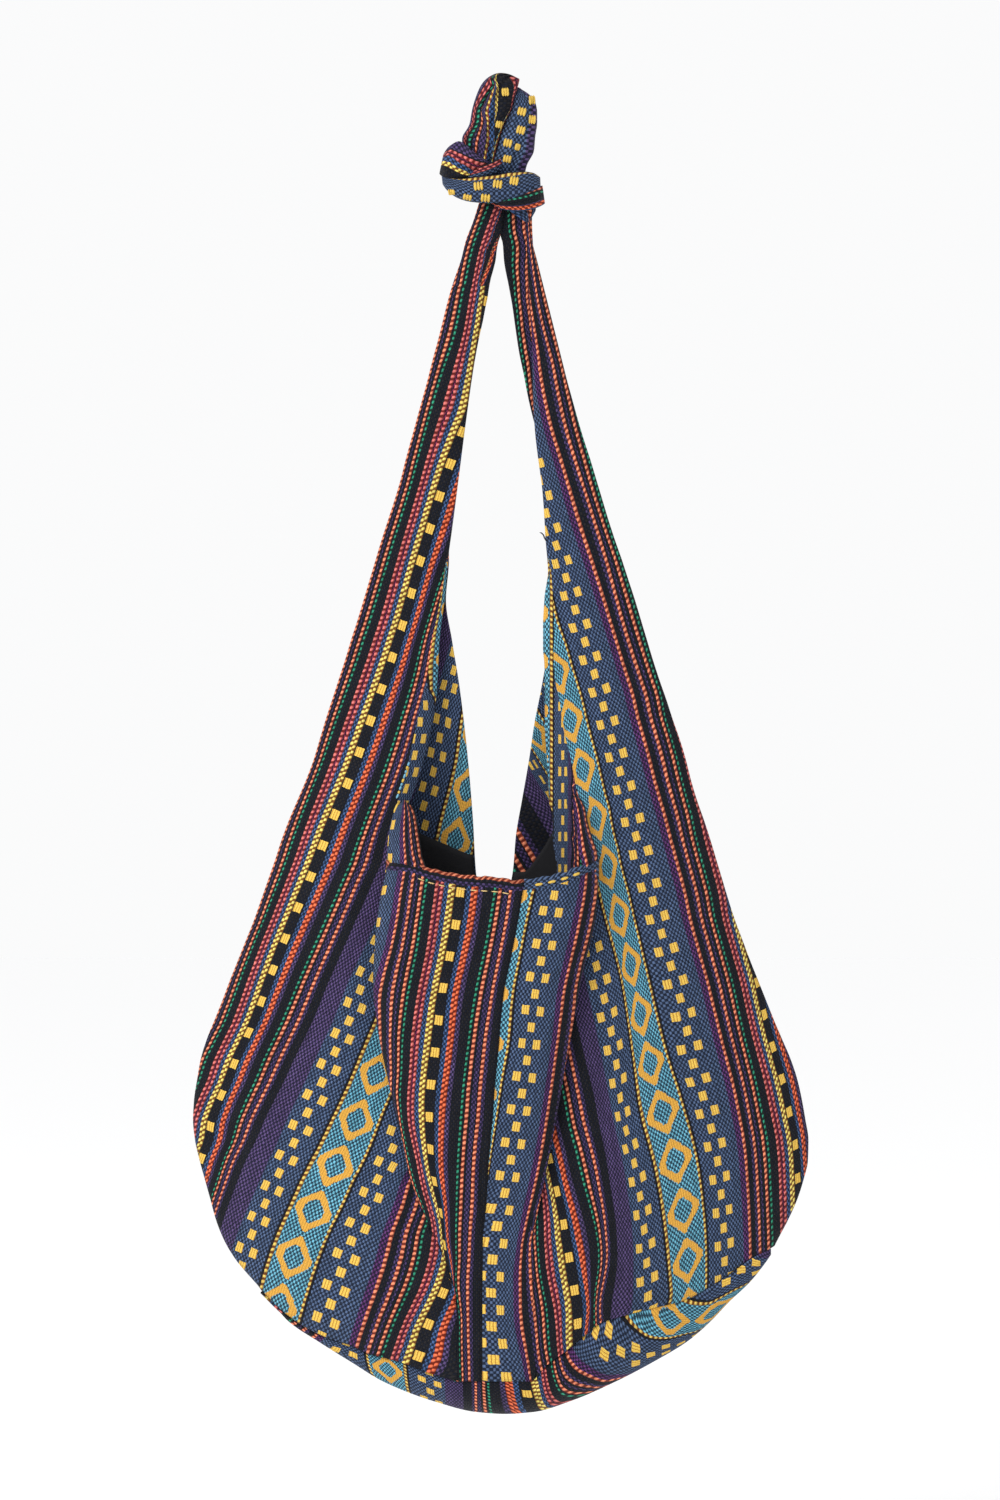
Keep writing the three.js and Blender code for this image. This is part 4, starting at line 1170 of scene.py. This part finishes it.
# the turn of the loop behind them
loop_t, loop_t_front = band(
    [(474, 142, 492, 146, -5, 3), (476, 114, 494, 117, -5, 4), (482, 93, 497, 105, -5, 4), (494, 79.5, 503, 102, -5, 4.5), (508, 78.5, 508, 102, -5, 4.5), (520, 91, 511, 105, -5, 4.5),
     (530, 99.5, 512, 110, -5, 4.5), (534, 113, 513, 117, -5, 4), (533, 138, 512, 140, -5, 3)],
    [(.5,)] * 9, [(228, 238), (238, 248)], (186, 228), n=70, deep=7, v0=0, seed=33)
hanging_loop = cloth("hanging_loop_cloth", loop_l + loop_r + loop_t, 0, WOVEN, ["hanging_loop"])

# the band that comes round from the left, the one that crosses below it, and the two low bands
wrap_up, wrap_up_front = band(
    [(458, 160, 456, 176, -12, 3), (446, 156, 444, 173, -9, 5), (442.5, 156, 438.5, 173, -3, 6), (446, 149.5, 442.5, 177, 4, 8), (451.5, 144.5, 448, 179, 8, 8), (459, 141, 457, 180, 10, 8),
     (467.5, 146, 466, 178.5, 10.5, 8), (477.5, 154, 474, 176, 9, 7), (487, 160, 481, 172, 6, 5), (494, 163.5, 488, 170, 1, 3)],
    [(.02, .14, .30, .52, .98), (.02, .14, .30, .52, .98), (.03, .16, .32, .55, .98), (.06, .22, .42, .58, .98), (.12, .33, .52, .67, .98), (.27, .53, .68, .80, .98),
     (.29, .62, .78, .90, .98), (.25, .76, .96, .97, .98), (.2, .8, .96, .97, .98), (.2, .8, .96, .97, .98)],
    [(231, 238), (138.4, 148.6), (148.6, 153.2), (153.3, 159), (131.2, 138.8), (170.6, 172)], (186, 228), n=60, deep=8, v0=2,
    groove=[((.1, .1, .12, .2, .2), 0.05, 0.8), ((.62, .62, .72, .86), 0.05, 1.2)], seed=9)
cross, cross_front = band(
    [(503, 155, 504, 172, 2, 4), (496, 160, 497, 174, 6, 6), (487, 164, 489, 177, 9, 6.5), (477, 168, 479, 179, 11, 6), (469, 172.5, 470, 179, 11, 4), (463, 176, 463.5, 179, 8, 2)],
    [(.05, .45)] * 6, [(136, 138.4), (138.4, 148.6), (278, 286)], (244, 286), n=40, deep=8, v0=9, seed=14)
wrap_low, wrap_low_front = band(
    [(460, 178, 460, 192, -12, 3), (446, 177, 446, 185, -9, 5), (441, 176, 442, 183.5, -3, 6), (446.5, 177, 447, 190.5, 6, 8), (457.5, 178.5, 458.5, 198.5, 11, 9), (470, 177.5, 471, 202, 13, 9.5), (484, 176, 485, 203, 13.5, 9.5),
     (498, 174.5, 499, 203, 13, 9.5), (512, 172, 513, 203, 12, 9.5), (524, 171.5, 525, 200, 10, 9), (534, 173, 535, 196, 6, 8), (541, 178, 541.5, 190, -1, 6), (537, 178, 537.5, 190, -9, 5), (524, 177, 524, 192, -12, 3)],
    [(.01, .03, .3, .6)] * 3 + [(.02, .04, .3, .6)] + [(.03, .05, .3, .6)] + [(.02, .13, .38, .66)] * 4 + [(.02, .08, .38, .66)] + [(.02, .04, .3, .6)] * 4,
    [(0.2, 2), (2.0, 4.9), (286, 277.4), (277.4, 286), (286, 277.4)], (286, 244), n=110, deep=9, v0=0, groove=[((.5, .2, .2, .3, .8, .6), 0.08, 0.9)], seed=15)
wrap_right, wrap_right_front = band(
    [(492, 200, 492, 204, 4, 2), (499, 197.5, 499, 208, 10, 5), (508, 195, 508.5, 210.5, 13, 7), (519, 192, 520, 211, 13, 7.5), (530, 189, 531, 209.5, 10, 7.5), (539, 186, 540, 206.5, 4, 7),
     (543, 185.5, 545.5, 203, -3, 4), (538, 187, 540, 201, -9, 4), (524, 188, 524, 202, -11, 3)],
    [(.12, .34, .46, .70, .76, .96)] * 9,
    [(206.2, 203), (203, 197.6), (197.6, 194), (194, 187), (186, 182), (181.6, 175.2), (175, 172)], (172, 206), n=70, m=6, deep=7, v0=2, seed=21)
tail, tail_front = band(
    [(504, 204, 528, 202, 2, 3), (508, 210, 535, 205, 5, 3.5), (512, 213, 536, 209.5, 5, 3.5), (518, 217, 534.5, 213, 5, 3), (523, 220.5, 532, 217.5, 4, 2.4), (526.5, 222.5, 530, 221, 3, 1.6)],
    [(.2, .62, .68, .86)] * 6, [(172, 175), (279, 286), (204, 205.5), (205, 200.5), (286, 279)], (244, 286), n=30, deep=3, v0=0, seed=30)
core, core_front = band(
    [(482, 146, 512, 146, -6, 4), (467, 158, 520, 158, -6, 6), (458, 172, 524, 172, -6, 7), (457, 184, 528, 184, -6, 7), (468, 195, 526, 195, -6, 6), (482, 204, 519, 204, -5, 3)],
    [(.5,)] * 6, [(186, 190), (190, 194)], (92, 186), n=40, deep=12, v0=0, seed=12)
strap_knot = cloth("strap_knot_cloth", wrap_up + cross + wrap_low + wrap_right + tail + core, 0, WOVEN, ["strap_knot"])


def depth_on(points, x, y):
    """Depth of a band's front at a place in the picture plane."""
    f = (EYE + points[:, 1]) / EYE
    px, py = points[:, 0] / UNIT / f + 500, 750 - (points[:, 2] - MID_Z) / UNIT / f
    near = np.argsort((px - x) ** 2 + (py - y) ** 2)[:3]
    return float(-points[near, 1].mean() * 1000)


def woven_dot(points, x, y, lean, wide=8.4, tall=8.8):
    """Three gold floats side by side; lean is the slope of the floats in x for each step in y."""
    runs = []
    c = math.sqrt(1 + lean * lean)
    for j in (-1, 0, 1):
        cx, cy = x + j * wide / 3 / c, y - j * wide / 3 * lean / c
        q = np.linspace(-0.5, 0.5, 7) * tall
        xs, ys = cx + q * lean / c, cy + q / c
        ds = [depth_on(points, a, b) for a, b in zip(xs, ys)]
        ds = np.polyval(np.polyfit(q, ds, 2), q) + 0.35
        runs.append(place(xs, ys, ds))
    return runs


KNOT_DOTS = ([(loop_r_front, *q) for q in ((532, 100, .1, 6, 9), (521.8, 111.5, -.25), (532, 119.5, -.1, 7, 9), (520.8, 130, -.3), (507.8, 143, -.25), (517.6, 147, -.3, 4, 7), (507.2, 159, -.2, 8, 8))]
             + [(wrap_low_front, *q) for q in ((478.4, 186, .1, 9.4, 9), (497.6, 184, -.15, 9.4, 8.6), (514.1, 180.8, -.2, 8.6, 9), (451.5, 192, .2, 6, 6), (467.4, 197.2, -.2, 8.6, 6), (485.5, 198, -.1, 9.4, 8.4))]
             + [(loop_l_front, 505.3, 92, .05, 6.6, 8.4), (loop_l_front, 499, 124.5, -.2, 6, 7.4)])

# ------------------------------------------------------------------ sewing thread


def thread_pieces(name, runs, mat, radius):
    """Short stitches or thread ends as one mesh; each run is a list of points."""
    verts, faces, uvs = [], [], []
    for pts in runs:
        C = np.array(pts, float)
        T = np.gradient(C, axis=0)
        T /= np.maximum(np.linalg.norm(T, axis=1), 1e-12)[:, None]
        a = np.cross(T, np.array([0.2, -0.9, 0.3]))
        a /= np.linalg.norm(a, axis=1)[:, None]
        b = np.cross(T, a)
        base, n, m = len(verts), len(C), 6
        for i in range(n):
            f = radius * math.sqrt(max(0.04, 1 - (2 * i / (n - 1) - 1) ** 4))
            for j in range(m):
                g = 2 * math.pi * j / m
                verts.append(C[i] + (a[i] * math.cos(g) + b[i] * math.sin(g)) * f)
        for i in range(n - 1):
            for j in range(m):
                k = (j + 1) % m
                faces.append([base + i * m + j, base + i * m + k, base + (i + 1) * m + k, base + (i + 1) * m + j])
                uvs.append([(j, i * 4), (j + 1, i * 4), (j + 1, i * 4 + 4), (j, i * 4 + 4)])
        faces.append([base + j for j in range(m)][::-1])
        uvs.append([(j, 0) for j in range(m)])
        faces.append([base + (n - 1) * m + j for j in range(m)])
        uvs.append([(j, 0) for j in range(m)])
    me = bpy.data.meshes.new(name)
    me.from_pydata([tuple(v) for v in verts], [], faces)
    layer = me.uv_layers.new(name="Weave")
    layer.data.foreach_set("uv", (np.array([w for g in uvs for w in g], float) / REP).ravel())
    me.polygons.foreach_set("use_smooth", [True] * len(me.polygons))
    me.materials.append(mat)
    me.update()
    ob = bpy.data.objects.new(name, me)
    bpy.context.scene.collection.objects.link(ob)
    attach(ob, "root")
    return ob


def along(points, length, gap, lift):
    """Stitches along a line of points, each with a small sag at its ends."""
    C = np.array(points, float)
    L = np.concatenate([[0], np.cumsum(np.linalg.norm(np.diff(C, axis=0), axis=1))])
    runs, at = [], gap
    while at + length < L[-1]:
        t = at + np.linspace(0, length, 6)
        q = np.stack([np.interp(t, L, C[:, i]) for i in range(3)], -1)
        q[:, 1] -= lift * np.sin(np.pi * np.linspace(0, 1, 6)) ** 0.6
        runs.append(q)
        at += length + gap
    return runs


stitch_line = LIP_LEFT[3, 12:-2]
stitches = thread_pieces("hem_stitches", along(stitch_line, 0.0046, 0.0022, 0.0007), CREAM, 0.00042)
hem_floats = thread_pieces("hem_floats", along(LIP_RIGHT[1, 8:-3][::-1], 0.0052, 0.0034, 0.0006), GOLD_YARN, 0.0009)
dot_runs = [r for d in KNOT_DOTS for r in woven_dot(*d)]
knot_dots = thread_pieces("knot_dots", dot_runs, GOLD_YARN, 0.00098)


def edge_bead(x, y, d, length, lean):
    q = np.linspace(-0.5, 0.5, 6) * length
    return place(x - q * lean, y + q, d + 0.3 * np.cos(np.linspace(-1.5, 1.5, 6)))


def lip_edge_depth(x, y):
    f = (EYE + EDGE_PTS[:, 1]) / EYE
    px, py = EDGE_PTS[:, 0] / UNIT / f + 500, 750 - (EDGE_PTS[:, 2] - MID_Z) / UNIT / f
    near = np.argsort((px - x) ** 2 + (py - y) ** 2)[:3]
    return float(-EDGE_PTS[near, 1].mean() * 1000)


EDGE_PTS = np.concatenate([q[0].reshape(-1, 3) for q in left_blocks])
edge_sky = thread_pieces("edge_beads_blue", [edge_bead(x, y, lip_edge_depth(x, y) + 0.2, n_, 0.42) for x, y, n_ in
                         ((408.6, 764, 4), (405.9, 771.6, 3), (404.6, 776, 5), (401.6, 784.4, 3), (400.4, 788, 4), (397.6, 796, 5))], SKY_YARN, 0.0007)
edge_gold = thread_pieces("edge_beads_gold", [edge_bead(x, y, lip_edge_depth(x, y) + 0.5, n_, 0.42) for x, y, n_ in
                          ((407.2, 767.6, 3), (403, 780.6, 4), (399, 792.2, 3), (396, 808, 10), (389.6, 836, 5), (390.4, 848, 5), (388.4, 858, 6), (387, 870, 6), (390.6, 878, 6),
                           (385, 890, 7), (382.6, 909, 7), (379.6, 930, 6))], GOLD_YARN, 0.0008)
loose = thread_pieces("loose_thread", [place([548, 546, 544.5, 543.5, 541.5, 539.5], [541.5, 540.5, 538, 535, 533, 532.5], [5, 6.5, 7, 7, 7, 7.5])], DARK, 0.0005)

# ------------------------------------------------------------------ floor, light, camera
fme = bpy.data.meshes.new("floor")
F = 8.0
fme.from_pydata([(-F, -F, -1.05), (F, -F, -1.05), (F, F, -1.05), (-F, F, -1.05)], [], [(0, 1, 2, 3)])
floor = bpy.data.objects.new("floor", fme)
bpy.context.scene.collection.objects.link(floor)
fmat = bpy.data.materials.new("floor")
k = Nodes(fmat)
bs = k.new("ShaderNodeBsdfPrincipled")
n = k.new("ShaderNodeTexNoise")
n.inputs["Scale"].default_value = 3.0
k.link(k.mix(n.outputs["Fac"], (0.925, 0.925, 0.925, 1), (0.935, 0.935, 0.935, 1)), bs.inputs["Base Color"])
bs.inputs["Roughness"].default_value = 0.9
bs.inputs["Specular IOR Level"].default_value = 0.0
bs.inputs["Emission Color"].default_value = (0.965, 0.967, 0.97, 1)
bs.inputs["Emission Strength"].default_value = 0.127
o = k.new("ShaderNodeOutputMaterial")
k.link(bs.outputs[0], o.inputs["Surface"])
fme.materials.append(fmat)

world = bpy.data.worlds.new("studio")
bpy.context.scene.world = world
world.use_nodes = True
bg = world.node_tree.nodes["Background"]
# an even white room that is dimmer towards its front right
tree = world.node_tree
way = tree.nodes.new("ShaderNodeTexCoord")
split = tree.nodes.new("ShaderNodeSeparateXYZ")
tree.links.new(way.outputs["Generated"], split.inputs[0])
span = []
for axis, lo, hi in (("Y", 0.05, -0.55), ("X", -0.55, 0.6)):
    r = tree.nodes.new("ShaderNodeMapRange")
    r.interpolation_type = "SMOOTHSTEP"
    r.inputs["From Min"].default_value, r.inputs["From Max"].default_value = lo, hi
    tree.links.new(split.outputs[axis], r.inputs["Value"])
    span.append(r)
both = tree.nodes.new("ShaderNodeMath")
both.operation = "MULTIPLY"
tree.links.new(span[0].outputs[0], both.inputs[0])
tree.links.new(span[1].outputs[0], both.inputs[1])
tone = tree.nodes.new("ShaderNodeMix")
tone.data_type = "RGBA"
tree.links.new(both.outputs[0], tone.inputs[0])
tone.inputs[6].default_value = (0.962, 0.964, 0.967, 1)
tone.inputs[7].default_value = (0.56, 0.565, 0.575, 1)
tree.links.new(tone.outputs[2], bg.inputs[0])
bg.inputs[1].default_value = 1.0
bpy.context.scene.view_settings.view_transform = "Standard"


def area_light(name, loc, target, size, power, colour=(1, 1, 1)):
    li = bpy.data.lights.new(name, "AREA")
    li.shape = "RECTANGLE"
    li.size, li.size_y = size
    li.energy = power
    li.color = colour
    ob = bpy.data.objects.new(name, li)
    ob.location = loc
    from mathutils import Vector
    ob.rotation_euler = (Vector(target) - Vector(loc)).to_track_quat("-Z", "Y").to_euler()
    bpy.context.scene.collection.objects.link(ob)


area_light("key", (-1.5, -2.0, 0.8), (0, 0, -0.5), (1.6, 1.6), 46)
area_light("fill", (1.8, -1.9, 0.2), (0, 0, -0.5), (1.6, 2.0), 1.5)

cam_data = bpy.data.cameras.new("camera")
cam_data.sensor_fit = "VERTICAL"
cam_data.sensor_width = 36
cam_data.sensor_height = 36
cam_data.lens = 18 / (0.5 * 1500 * UNIT / EYE)
cam = bpy.data.objects.new("camera", cam_data)
cam.location = (0, -EYE, MID_Z)
cam.rotation_euler = (math.pi / 2, 0, 0)
bpy.context.scene.collection.objects.link(cam)
bpy.context.scene.camera = cam
